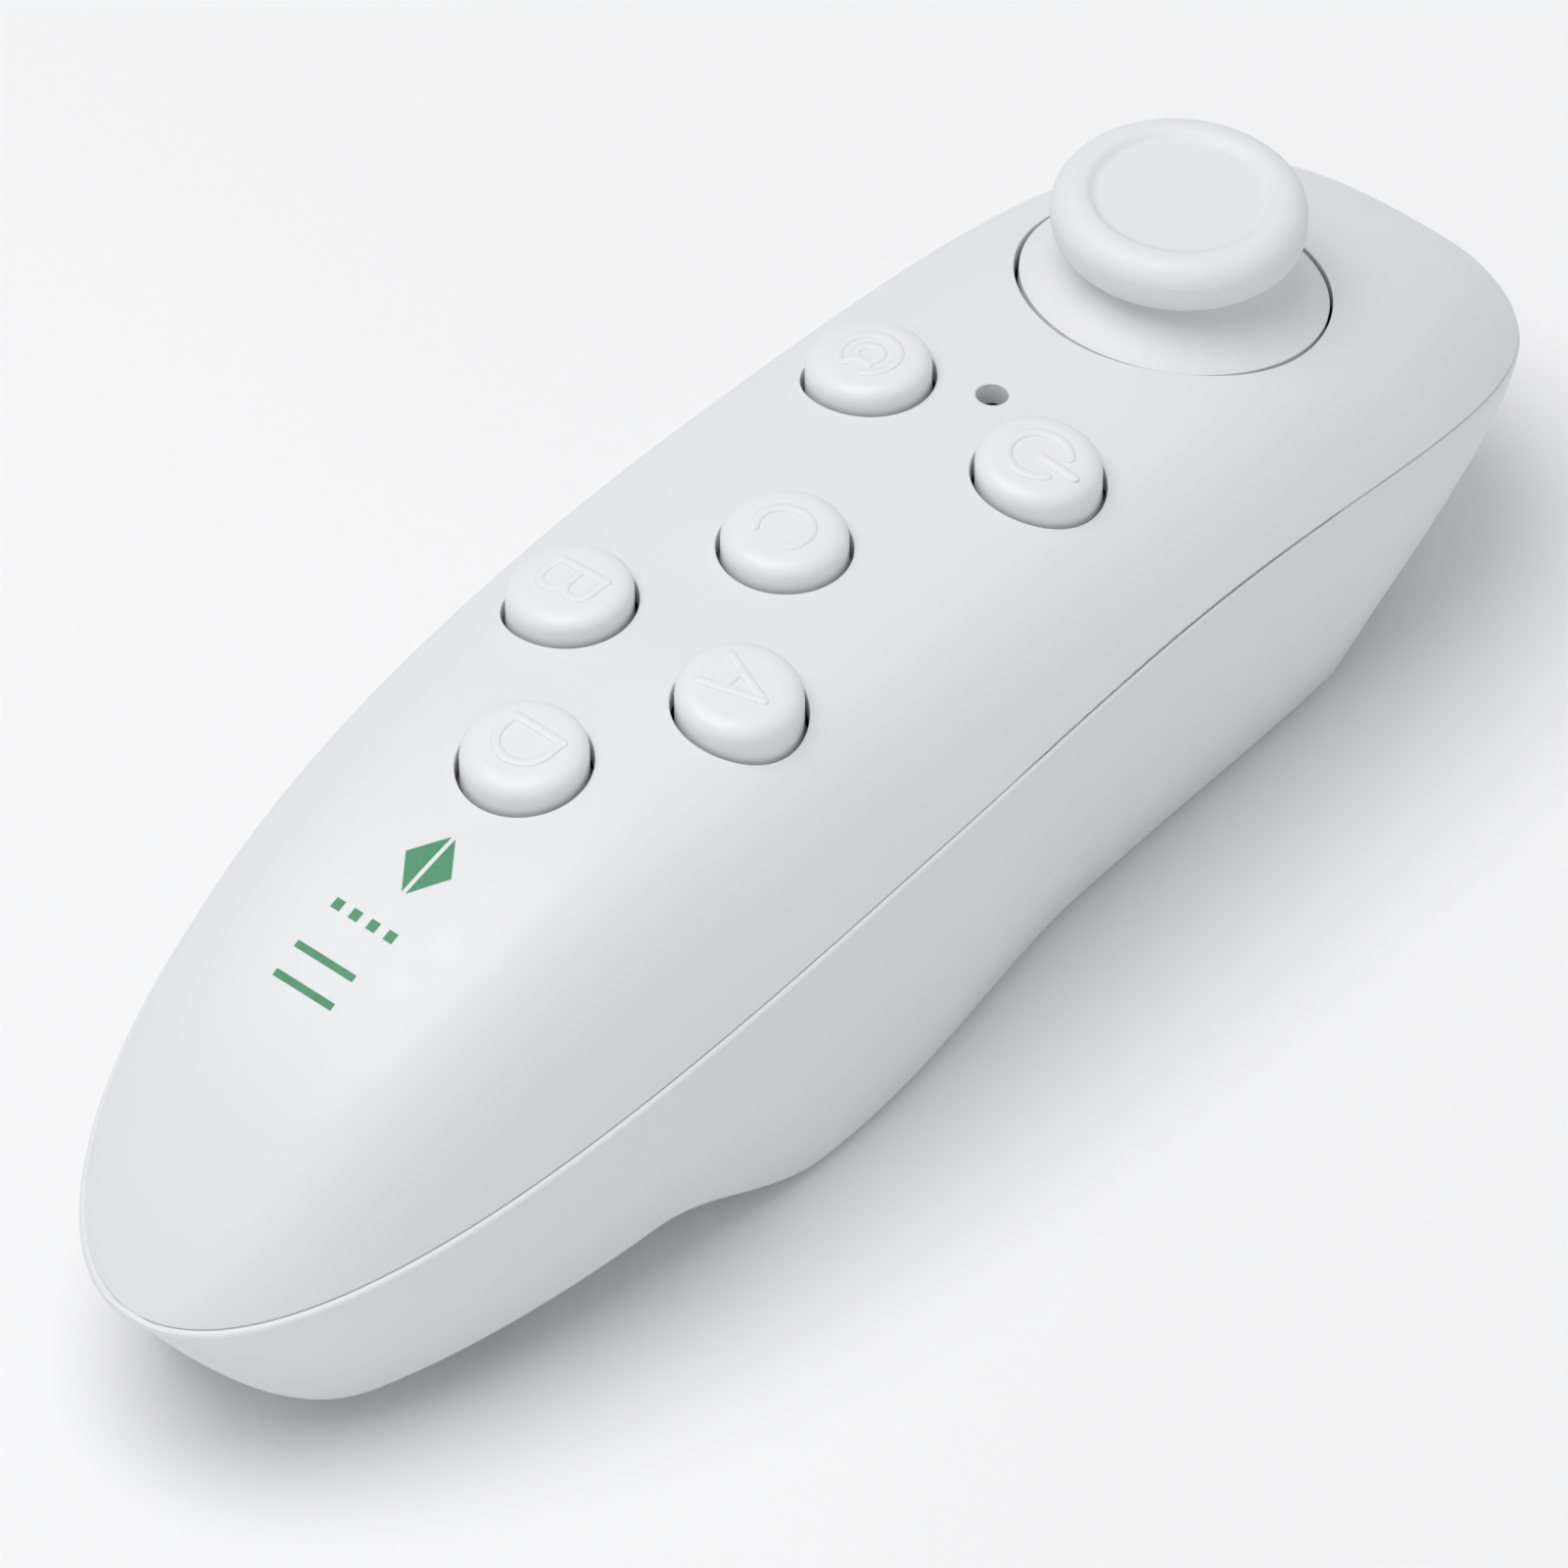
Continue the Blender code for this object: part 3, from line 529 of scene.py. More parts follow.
def top_shell():
    holes = top_holes()
    flat, loops = skin_points(holes)
    upper = skin_faces(flat, loops, holes)
    count = len(flat)
    verts, normals = [], []
    for x, y in flat:
        verts.append(Vector((x, y, top_height(x, y))))
        normals.append(surface_normal(x, y))
    base = [rim_height(x) + GAP / 2 for x, _ in flat]
    for k in range(count):
        inner = verts[k] - skin_depth(*flat[k], normals[k], holes)
        verts.append(Vector((inner.x, inner.y, max(inner.z, base[k]))))
    faces = list(upper) + [tuple(v + count for v in reversed(face)) for face in upper]
    rim = loops[0]
    for a, b in zip(rim, rim[1:] + rim[:1]):
        faces.append((b, a, a + count, b + count))
    soft = {}
    turns = 5
    for (centre, radius, steps), loop in zip(holes, loops[1:]):
        previous = loop
        for t in range(1, turns + 1):
            angle = math.pi / 2 * t / turns
            out = radius + HOLE_ROUND * (1 - math.sin(angle))
            ring = []
            for x, y in circle(centre, out, steps):
                inward = Vector((centre[0] - x, centre[1] - y, 0.0)).normalized()
                turned = surface_normal(x, y) * math.cos(angle) + inward * math.sin(angle)
                ring.append(len(verts))
                soft[len(verts)] = turned.normalized()
                verts.append(Vector((x, y, top_height(x, y) - HOLE_ROUND * (1 - math.cos(angle)))))
            faces += band(previous, ring)
            previous = ring
        for k in range(steps):
            x, y = verts[previous[k]].x, verts[previous[k]].y
            inner = loop[k] + count
            verts[inner] = Vector((x, y, top_height(x, y) - SKIN / surface_normal(x, y).z))
        faces += band(previous, [v + count for v in loop])
    obj = face_out(add_mesh("top_shell_skin", verts, faces, [SHELL_WHITE]))
    smooth(obj, 50.0)
    exact = {k: normals[k] for k in range(count)}
    exact.update(soft)
    loop_normals = []
    for face in obj.data.polygons:
        on_skin = all(v < count or v in soft for v in face.vertices)
        for v in face.vertices:
            loop_normals.append(tuple(exact[v]) if on_skin and v in exact else (0.0, 0.0, 0.0))
    obj.data.normals_split_custom_set(loop_normals)
    return attach(obj, "handset", "shell_white", "top_shell")


# ---------------------------------------------------------------- bottom shell


def wall_ring(inset_at, height_at):
    points = []
    for k in range(2 * STATIONS):
        lengthwise = -math.cos(math.pi * k / STATIONS)
        reach = TAIL_REACH if lengthwise < 0 else NOSE_REACH
        inset = inset_at(reach * lengthwise)
        x = (reach - inset) * lengthwise
        points.append((x, half_width(x, inset) * (-1.0 if k < STATIONS else 1.0), height_at(x)))
    return points


def wall_level(wall, drop, extra, rise):
    """One loop of the wall, drop of the way down, moved in by extra and down by rise."""

    def inset(x):
        edge = -lip(x) * (1.0 - drop) if wall == 0 else 0.0
        return wall + edge + (foot_inset(x) - EDGE_RADIUS * 0.3) * drop**WALL_BEND + extra

    def height(x):
        top, bottom = rim_height(x) + GAP / 2 - SEAM, floor_height(x) + wall + EDGE_RADIUS
        return top + (bottom - top) * drop - rise

    return wall_ring(inset, height)


def lip_levels(radius, steps):
    """The rounded top edge of the lip, from the parting line outwards and down."""
    rings = []
    for k in range(steps):
        angle = math.pi / 2 * k / steps
        rings.append(wall_level(0.0, 0.0, radius * (1 - math.sin(angle)), radius * (1 - math.cos(angle))))
    return rings


def close_loop(verts, faces, loop, height):
    """Fills a loop with a grid across the body."""
    rows = [[loop]]
    for k in range(1, STATIONS):
        right, left = loop + k, loop + 2 * STATIONS - k
        x, side = verts[right][0], -verts[right][1]
        row = [right]
        for j in range(1, FLOOR_ACROSS):
            row.append(len(verts))
            verts.append((x, side * math.sin(math.pi * (j / FLOOR_ACROSS - 0.5)), height(x)))
        rows.append(row + [left])
    rows.append([loop + STATIONS])
    for here, there in zip(rows, rows[1:]):
        for j in range(FLOOR_ACROSS):
            quad = (here[min(j, len(here) - 1)], there[min(j, len(there) - 1)])
            quad += (there[min(j + 1, len(there) - 1)], here[min(j + 1, len(here) - 1)])
            faces.append(tuple(dict.fromkeys(quad)))


def bottom_shell():
    loop = 2 * STATIONS
    lip_round, wall_steps, edge_steps = 0.3, 16, 7
    outer = lip_levels(lip_round, 4)
    outer.append(wall_level(0.0, 0.0, 0.0, lip_round))
    outer += [wall_level(0.0, k / wall_steps, 0.0, 0.0) for k in range(1, wall_steps + 1)]
    for k in range(1, edge_steps + 1):
        angle = math.pi / 2 * k / edge_steps
        inwards, down = EDGE_RADIUS * (1 - math.cos(angle)), EDGE_RADIUS * math.sin(angle)
        outer.append(wall_level(0.0, 1.0, inwards, down))
    inner = [wall_level(WALL, k / 6, 0.0, 0.0) for k in range(7)]
    inner.append(wall_level(WALL, 1.0, EDGE_RADIUS, EDGE_RADIUS))
    verts, faces = [], []
    for ring in outer + inner:
        verts += ring
    rows = list(range(len(outer) - 1)) + list(range(len(outer), len(outer) + len(inner) - 1))
    pairs = [(k, k + 1) for k in rows] + [(0, len(outer))]
    for first, second in pairs:
        for k in range(loop):
            after = (k + 1) % loop
            faces.append((first * loop + k, first * loop + after, second * loop + after, second * loop + k))
    close_loop(verts, faces, (len(outer) - 1) * loop, floor_height)
    close_loop(verts, faces, (len(outer) + len(inner) - 1) * loop, lambda x: floor_height(x) + WALL)
    return face_out(add_mesh("bottom_shell_skin", verts, faces, [SHELL_WHITE]))


def rounded_outline(low, high, radius, steps=6):
    """A rectangle in plan with rounded corners, anticlockwise."""
    corners = ((high[0], high[1], 0), (low[0], high[1], 90), (low[0], low[1], 180), (high[0], low[1], 270))
    points = []
    for x, y, start in corners:
        centre_x = x - math.copysign(radius, x - (low[0] + high[0]) / 2)
        centre_y = y - math.copysign(radius, y - (low[1] + high[1]) / 2)
        points += arc((centre_x, centre_y), radius, start, start + 90, steps)
    return points


def centred(half_x, half_y, radius, steps=6):
    """A rounded rectangle about the origin."""
    return rounded_outline((-half_x, -half_y), (half_x, half_y), radius, steps)


def slab(name, outline, low, high, material):
    """An outline in plan, extruded from low to high."""
    count = len(outline)
    verts = [(x, y, z) for z in (low, high) for x, y in outline]
    faces = [tuple(range(count))[::-1], tuple(range(count, 2 * count))]
    faces += [(k, (k + 1) % count, (k + 1) % count + count, k + count) for k in range(count)]
    return face_out(add_mesh(name, verts, faces, [material]))


def rod(name, centre, radius, low, high, material, steps=48):
    return slab(name, circle(centre, radius, steps), low, high, material)


def on_ramp(obj, along):
    """Turns a shape made about the origin on to the nose ramp, this far up it."""
    reach = Vector((BELLY_FRONT + along * math.cos(RAMP_ANGLE), 0.0, along * math.sin(RAMP_ANGLE)))
    obj.data.transform(Matrix.Translation(reach * MM) @ Matrix.Rotation(-RAMP_ANGLE, 4, "Y"))
    return obj


TRIGGERS = (("lower", 4.9), ("upper", 10.5))
TRIGGER_SIZE = (2.2, 5.5)
TRIGGER_PROUD = 0.8
BAY_LOW, BAY_HIGH = (-18.1, -10.85), (33.0, 10.85)
BAY_TOP, TRAY_FLOOR, TRAY_TOP, TRAY_WALL = 13.0, 0.9, 14.4, 1.3
COVER_THICK = 1.5
CORNER = 1.8
JOINT_Z = 12.0
CASE_SCREWS = ("case_screw_1", "case_screw_2", "case_screw_3")
SCREW_SINK, SCREW_WAY, BOSS_RADIUS = 2.3, 1.35, 2.9
SLIDER_SLOT_IN, SLIDER_SLOT_OUT = 13.0, 21.0


def finished_bottom():
    """The bottom shell with its battery tray, screw bosses and every opening."""
    shell = bottom_shell()
    tray_low = (BAY_LOW[0] - TRAY_WALL, BAY_LOW[1] - TRAY_WALL)
    tray_high = (BAY_HIGH[0] + TRAY_WALL, BAY_HIGH[1] + TRAY_WALL)
    added = [slab("tray", rounded_outline(tray_low, tray_high, 2.0), TRAY_FLOOR, TRAY_TOP, SHELL_WHITE)]
    for name in CASE_SCREWS:
        middle, low, _ = place_of(name)
        added.append(rod("boss", middle.xy, BOSS_RADIUS, low.z - 1.0, JOINT_Z - GAP, SHELL_WHITE))
    combine(shell, added, "UNION")
    cuts = [slab("bay", rounded_outline(BAY_LOW, BAY_HIGH, 1.0), -1.0, BAY_TOP, SHELL_WHITE)]
    _, low, high = place_of("battery_cover")
    mouth = rounded_outline((low.x - GAP, low.y - GAP), (high.x + GAP, high.y + GAP), CORNER + GAP)
    cuts.append(slab("mouth", mouth, -1.0, COVER_THICK + GAP + 0.1, SHELL_WHITE))
    for name in CASE_SCREWS:
        middle, low, high = place_of(name)
        cuts.append(rod("sink", middle.xy, SCREW_SINK, low.z - 6.0, low.z + 1.6, SHELL_WHITE))
        cuts.append(rod("way", middle.xy, SCREW_WAY, low.z, JOINT_Z + 1.0, SHELL_WHITE, 32))
    for _, along in TRIGGERS:
        half_x, half_y = TRIGGER_SIZE[0] + GAP, TRIGGER_SIZE[1] + GAP
        slot = slab("slot", centred(half_x, half_y, 1.3), -3.0, 3.0, SHELL_WHITE)
        cuts.append(on_ramp(slot, along))
    _, low, high = place_of("mode_slider")
    travel = JOINTS["mode_select"]["range_m"][1] / MM
    way = rounded_outline((low.x - 0.5, low.z - 0.3), (high.x + travel + 0.5, high.z + 0.3), 1.0)
    slot = slab("slider_slot", way, SLIDER_SLOT_IN, SLIDER_SLOT_OUT, SHELL_WHITE)
    slot.data.transform(SWAP_Y_Z)
    cuts.append(face_out(slot))
    combine(shell, cuts, "DIFFERENCE")
    smooth(shell, 28.0)
    return attach(shell, "handset", "shell_white", "bottom_shell")


# ---------------------------------------------------------------- keys


def ridge(name, points, width, height, lift, material):
    """A low rounded ridge with round ends along a path in plan. lift(x, y) gives the height of its foot."""
    section = [(-1.0, -0.3), (-0.92, 0.35), (-0.6, 0.8), (0.0, 1.0), (0.6, 0.8), (0.92, 0.35), (1.0, -0.3)]
    verts, faces = [], []
    count = len(section)
    spots = [Vector(point) for point in points]
    stations = []
    for k, spot in enumerate(spots):
        along = (spots[min(k + 1, len(spots) - 1)] - spots[max(k - 1, 0)]).normalized()
        stations.append((spot, along, 1.0))
    half = width / 2
    for degrees in (30.0, 55.0, 78.0):
        out, narrow = half * math.sin(math.radians(degrees)), math.cos(math.radians(degrees))
        start, first = spots[0], stations[0][1]
        end, last = spots[-1], stations[-1][1]
        stations.insert(0, (start - first * out, (spots[1] - start).normalized(), narrow))
        stations.append((end + last * out, (end - spots[-2]).normalized(), narrow))
    for spot, along, narrow in stations:
        for side, up in section:
            x = spot.x - along.y * side * half * narrow
            y = spot.y + along.x * side * half * narrow
            verts.append((x, y, lift(x, y) + up * height * (math.sqrt(narrow) if up > 0 else 1.0)))
    for k in range(len(stations) - 1):
        for j in range(count):
            a, b = k * count + j, k * count + (j + 1) % count
            faces.append((a, b, b + count, a + count))
    faces.append(tuple(range(count)))
    faces.append(tuple(range(len(verts) - count, len(verts))))
    return face_out(add_mesh(name, verts, faces, [material]))


def line(*corners):
    """Points along straight strokes, close together."""
    points = []
    for (x0, y0), (x1, y1) in zip(corners, corners[1:]):
        steps = max(2, int(math.hypot(x1 - x0, y1 - y0) / 0.3))
        points += [(x0 + (x1 - x0) * k / steps, y0 + (y1 - y0) * k / steps) for k in range(steps)]
    return points + [corners[-1]]


# Strokes of each key's mark, in millimetres across and up.
MARKS = {
    "a": (
        line((-1.3, -1.7), (0.0, 1.75)),
        line((1.3, -1.7), (0.0, 1.75)),
        line((-0.8, -0.55), (0.8, -0.55)),
    ),
    "b": (
        line((-1.1, -1.75), (-1.1, 1.75)),
        line((-1.1, 1.7), (0.2, 1.7)) + arc((0.2, 0.87), 0.83, 80, -90, 12)[1:] + [(-1.1, 0.04)],
        line((-1.1, 0.04), (0.25, 0.04)) + arc((0.25, -0.85), 0.89, 80, -90, 12)[1:] + [(-1.1, -1.74)],
    ),
    "c": (arc((0.1, 0.0), 1.6, 50, 310, 30),),
    "d": (
        line((-1.2, -1.75), (-1.2, 1.75)),
        line((-1.2, 1.7), (-0.2, 1.7)) + arc((-0.2, 0.0), 1.7, 86, -90, 22)[1:] + [(-1.2, -1.7)],
    ),
    "menu": (
        arc((0.0, 0.0), 0.85, 0, 350, 24),
        line((0.85, 0.7), (0.85, -0.6)) + arc((0.0, 0.0), 1.95, 345, 30, 40)[1:],
    ),
    "power": (arc((0.0, 0.0), 2.0, 125, 415, 40), line((0.0, 0.1), (0.0, 2.9))),
}
MARK_WIDTH, MARK_HEIGHT = 0.70, 0.12
LETTER_SCALE = 1.14
TILT = 0.7
FLAT_RADIUS, SHOULDER = 2.5, 1.05
FLANGE_RADIUS, FLANGE_THICK, FLANGE_GAP = 4.8, 0.9, 0.6
STEM_RADIUS = 1.3


def key(name):
    middle, low, high = place_of(f"button_{name}")
    x0, y0, top = middle.x, middle.y, high.z
    reach = 0.5
    slope_x = TILT * (top_height(x0 + reach, y0) - top_height(x0 - reach, y0)) / (2 * reach)
    slope_y = TILT * (top_height(x0, y0 + reach) - top_height(x0, y0 - reach)) / (2 * reach)
    ring = circle((x0, y0), FLANGE_RADIUS, 12)
    under_skin = min(top_height(x, y) - SKIN / surface_normal(x, y).z for x, y in ring)
    flange = under_skin - FLANGE_GAP - top
    stem = low.z - top

    def tilt(x, y, z):
        return (slope_x * x + slope_y * y) * blend(z, flange + 0.3, -SHOULDER)

    shoulder = []
    for k in range(11):
        angle = math.pi / 2 * k / 10
        out = FLAT_RADIUS + (KEY_RADIUS - FLAT_RADIUS) * math.cos(angle) ** 0.85
        shoulder.append((out, -SHOULDER * (1 - math.sin(angle) ** 0.9)))
    profile = [(0, stem), (STEM_RADIUS - 0.15, stem), (STEM_RADIUS, stem + 0.15)]
    profile += [(STEM_RADIUS, flange - FLANGE_THICK), (FLANGE_RADIUS, flange - FLANGE_THICK)]
    profile += [(FLANGE_RADIUS, flange), (KEY_RADIUS, flange), (KEY_RADIUS, flange + 0.4)]
    profile += [(KEY_RADIUS, -SHOULDER - 0.3)]
    profile += shoulder + [(1.6, 0.0), (0.8, 0.0), (0, 0.0)]
    obj = lathe(f"key_{name}", profile, (x0, y0, top), KEY_WHITE, 72, tilt)

    def foot(x, y):
        return top + slope_x * (x - x0) + slope_y * (y - y0)

    size = LETTER_SCALE if len(name) == 1 else 1.0
    strokes = [[(x0 - u * size, y0 - v * size) for u, v in stroke] for stroke in MARKS[name]]
    ridges = [ridge("mark", stroke, MARK_WIDTH, MARK_HEIGHT, foot, KEY_WHITE) for stroke in strokes]
    combine(obj, ridges, "UNION")
    smooth(obj, 50.0)
    return attach(obj, f"button_{name}", "key_white", f"button_{name}")


# ---------------------------------------------------------------- stick

BALL_RADIUS, BALL_WALL = 10.1, 1.1
BELL_LEAN, CAP_LEAN = math.radians(11.6), math.radians(3.5)
CAP_RADIUS, CAP_TOP = 8.3, 37.1
NECK_RADIUS, NECK_BASE, BORE_RADIUS = 5.9, 3.4, 2.1


def leaning(obj, pivot, angle):
    """Leans a shape towards the nose about the pivot."""
    there = Matrix.Translation(pivot * MM)
    obj.data.transform(there @ Matrix.Rotation(angle, 4, "Y") @ there.inverted())
    return obj


def ball(radius, heights):
    return [(math.sqrt(radius**2 - z**2), z) for z in heights]


def stick():
    """Cap with a shallow dish and a neck, on a bell skirt whose edge is part of a ball about the pivot."""
    pivot = Vector(JOINTS["stick_pitch"]["pos_m"]) / MM
    top = CAP_TOP - pivot.z
    dish, depth = 5.55, 0.42
    profile = [(0, top - depth), (2.0, top - depth), (4.0, top - depth), (dish - 0.3, top - depth)]
    profile += [(dish, top - depth + 0.03), (dish + 0.2, top - depth + 0.14), (dish + 0.38, top - 0.12)]
    profile += [(dish + 0.6, top - 0.03), (6.4, top)] + arc((CAP_RADIUS - 1.7, top - 1.7), 1.7, 82, 8, 12)
    profile += arc((CAP_RADIUS - 1.6, top - 2.3), 1.6, -6, -66, 9)
    profile += [(6.9, top - 3.92), (6.3, top - 4.02)]
    profile += [(NECK_RADIUS + 0.1, top - 4.1), (NECK_RADIUS, top - 4.3)]
    profile += [(NECK_RADIUS, NECK_BASE), (BORE_RADIUS, NECK_BASE), (BORE_RADIUS, 5.8), (0, 5.8)]
    cap = leaning(lathe("stick_moulding", profile, pivot, STICK_WHITE, 128), pivot, CAP_LEAN)
    bell = [(4.2, 4.9), (5.9, 4.45), (6.0, 4.0), (6.2, 3.5), (6.5, 2.95), (6.9, 2.4)]
    bell += [(7.4, 1.85), (8.0, 1.3), (8.6, 0.87), (9.2, 0.52), (9.7, 0.28)]
    bell += ball(BALL_RADIUS, (0.08, -0.5, -1.2, -2.0, -3.2))
    bell += ball(BALL_RADIUS - BALL_WALL, (-3.2, -2.0, -1.0))
    bell += [(7.6, 0.2), (6.6, 1.3), (5.6, 2.4), (4.2, 3.3)]
    skirt = leaning(lathe("skirt", bell, pivot, STICK_WHITE, 160), pivot, BELL_LEAN)
    combine(cap, [skirt], "UNION")
    smooth(cap, 38.0)
    return attach(cap, "stick", "stick_white", "stick_cap")


# ---------------------------------------------------------------- underside pieces


def triggers():
    """Two keys on the nose ramp, with five fine grooves each and a flange behind the shell."""
    pitch, half_groove, groove_reach, groove_deep = 0.62, 0.13, 3.6, 0.16
    for name, along in TRIGGERS:
        half_x, half_y = TRIGGER_SIZE
        outline = centred(half_x, half_y, 1.1, 8)
        cap = slab(f"trigger_key_{name}", outline, -TRIGGER_PROUD, 2.4, KEY_WHITE)
        baked(bevelled(cap, 0.4, 4, 60.0))
        grooves = []
        for k in range(-2, 3):
            low, high = (k * pitch - half_groove, -groove_reach), (k * pitch + half_groove, groove_reach)
            outline = rounded_outline(low, high, 0.12, 3)
            grooves.append(slab("groove", outline, -2.0, -TRIGGER_PROUD + groove_deep, KEY_WHITE))
        combine(cap, grooves, "DIFFERENCE")
        flange = slab("flange", centred(half_x - 0.1, half_y + 1.0, 0.6), 2.3, 2.9, KEY_WHITE)
        combine(cap, [flange], "UNION")
        smooth(on_ramp(cap, along), 30.0)
        attach(cap, f"trigger_{name}", "key_white", f"trigger_{name}")


def battery_cover():
    """Cover with rounded corners, grip lines, a slide arrow, a rib and a hook."""
    _, low, high = place_of("battery_cover")
    outline = rounded_outline(low.xy, high.xy, CORNER, 8)
    cover = slab("battery_cover_plate", outline, 0.0, COVER_THICK, SHELL_WHITE)
    baked(bevelled(cover, 0.25, 3, 60.0))
    cuts = []
    for k in range(6):
        x = low.x + 3.0 + 1.5 * k
        line_of_grip = rounded_outline((x - 0.3, -6.0), (x + 0.3, 6.0), 0.28, 3)
        cuts.append(slab("grip", line_of_grip, -1.0, 0.3, SHELL_WHITE))
    neck = low.x + 17.5
    arrow = [(neck - 3.0, 0.0), (neck, -2.2), (neck, -0.7), (neck + 4.0, -0.7)]
    arrow += [(neck + 4.0, 0.7), (neck, 0.7), (neck, 2.2)]
    cuts.append(slab("arrow", arrow, -1.0, 0.25, SHELL_WHITE))
    combine(cover, cuts, "DIFFERENCE")
    rib = slab("rib", rounded_outline((-15.0, -0.6), (24.0, 0.6), 0.3, 3), 1.0, 2.5, SHELL_WHITE)
    hook = block("hook", (high.x - 1.2, -4.0, 1.2), (high.x - 0.2, 4.0, 1.5), SHELL_WHITE)
    combine(cover, [rib, hook], "UNION")
    smooth(cover, 30.0)
    attach(cover, "battery_cover", "shell_white", "battery_cover")


def mode_slider():
    """The small knob in the left wall, with grip grooves across it."""
    _, low, high = place_of("mode_slider")
    outline = rounded_outline((low.x, low.z), (high.x, high.z), 0.7, 5)
    knob = slab("mode_slider_knob", outline, low.y, high.y, DARK)
    knob.data.transform(SWAP_Y_Z)
    baked(bevelled(face_out(knob), 0.18, 3, 60.0))
    middle = (low.x + high.x) / 2
    cuts = []
    for offset in (-0.75, 0.0, 0.75):
        near = (middle + offset - 0.16, high.y - 0.3, low.z - 1)
        far = (middle + offset + 0.16, high.y + 1, high.z + 1)
        cuts.append(block("groove", near, far, DARK))
    combine(knob, cuts, "DIFFERENCE")
    smooth(knob, 30.0)
    attach(knob, "mode_slider", "dark_plastic", "mode_slider")


def case_screws():
    """Cross-head screws, seen from below in their sinks, with a ridged thread."""
    for name in CASE_SCREWS:
        middle, low, high = place_of(name)
        length = high.z - low.z
        profile = [(0, 0), (1.3, 0.0), (1.75, 0.14), (1.95, 0.4), (2.0, 0.75), (2.0, 1.2), (0.75, 1.2)]
        pitch, root, crest = 0.6, 0.68, 0.9
        z = 1.6
        while z + pitch < length - 0.6:
            profile += [(root, z), (crest, z + pitch / 2)]
            z += pitch
        profile += [(root, z), (root * 0.8, length - 0.3), (0, length)]
        obj = lathe(f"{name}_body", profile, (middle.x, middle.y, low.z), STEEL, 40)
        arms = []
        for a, b in ((1.15, 0.22), (0.22, 1.15)):
            near, far = (middle.x - a, middle.y - b, low.z - 1), (middle.x + a, middle.y + b, low.z + 0.6)
            arms.append(block("arm", near, far, STEEL))
        combine(obj, arms, "DIFFERENCE")
        smooth(obj, 40.0)
        attach(obj, "handset", "plated_steel", name)


CELL_RADIUS = 5.25


def cells():
    """Two AAA cells: sleeve with crimped ends, steel can ends and a raised positive cap."""
    for name, flip in (("battery_left", 1), ("battery_right", -1)):
        middle, low, high = place_of(name)
        length, radius = high.x - low.x, CELL_RADIUS
        profile = [(0, 0.0), (3.6, 0.0), (3.8, 0.12), (4.4, 0.14), (4.7, 0.02)]
        profile += [(radius - 0.25, 0.0), (radius - 0.06, 0.12), (radius, 0.4)]
        profile += [(radius, length * k / 8) for k in range(1, 8)]
        profile += [(radius, length - 1.5), (radius - 0.08, length - 1.2), (radius - 0.5, length - 1.0)]
        profile += [(3.4, length - 1.02), (3.0, length - 1.15), (1.95, length - 1.1)]
        profile += [(1.9, length - 0.2), (1.75, length), (0, length)]
        obj = lathe(f"{name}_cell", profile, (0, 0, 0), STEEL, 64)
        start, end = (low.x, high.x) if flip > 0 else (high.x, low.x)
        obj.data.materials.append(cell_sleeve(f"{name}_sleeve", start, end))
        for face in obj.data.polygons:
            z = face.center.z / MM
            wall = math.hypot(face.center.x, face.center.y) / MM
            face.material_index = int(wall > 4.72 and z < length - 0.9)
        place = Matrix.Translation(Vector((start, middle.y, middle.z)) * MM)
        obj.data.transform(place @ Matrix.Rotation(math.pi / 2 * flip, 4, "Y"))
        attach(obj, "handset", "cell_sleeve", name)


def coil(name, start, axis, radii, wire, height, turns, body, node):
    """A round-wire spring from start along axis. radii are its first and last."""
    curve = bpy.data.curves.new(name, "CURVE")
    curve.dimensions = "3D"
    curve.bevel_depth = wire * MM
    curve.bevel_resolution = 3
    curve.use_fill_caps = True
    spline = curve.splines.new("POLY")
    count = turns * 28
    spline.points.add(count)
    side = axis.orthogonal().normalized()
    other = axis.cross(side)
    for k, point in enumerate(spline.points):
        share = k / count
        angle = 2.0 * math.pi * turns * share
        radius = radii[0] + (radii[1] - radii[0]) * share
        where = start + axis * height * share + (side * math.cos(angle) + other * math.sin(angle)) * radius
        point.co = (*(c * MM for c in where), 1.0)
    curve.materials.append(STEEL)
    obj = bpy.data.objects.new(name, curve)
    bpy.context.scene.collection.objects.link(obj)
    attach(obj, body, "plated_steel", node)


CELL_WIRE, STICK_WIRE = 0.3, 0.22


def springs():
    """The conical coil on the cell's negative end and the coil that centres the stick."""
    node = "contact_negative"
    middle, low, high = place_of(node)
    height = high.x - low.x - 2 * CELL_WIRE
    start = Vector((high.x - CELL_WIRE, middle.y, middle.z))
    coil("negative_spring", start, Vector((-1, 0, 0)), (2.6, 1.9), CELL_WIRE, height, 5, "handset", node)
    node = "stick_spring"
    middle, low, high = place_of(node)
    height = high.z - low.z - 2 * STICK_WIRE
    start = Vector((middle.x, middle.y, low.z + STICK_WIRE))
    coil("stick_return_spring", start, Vector((0, 0, 1)), (2.5, 2.5), STICK_WIRE, height, 2, "stick", node)


# ---------------------------------------------------------------- print and kept nodes


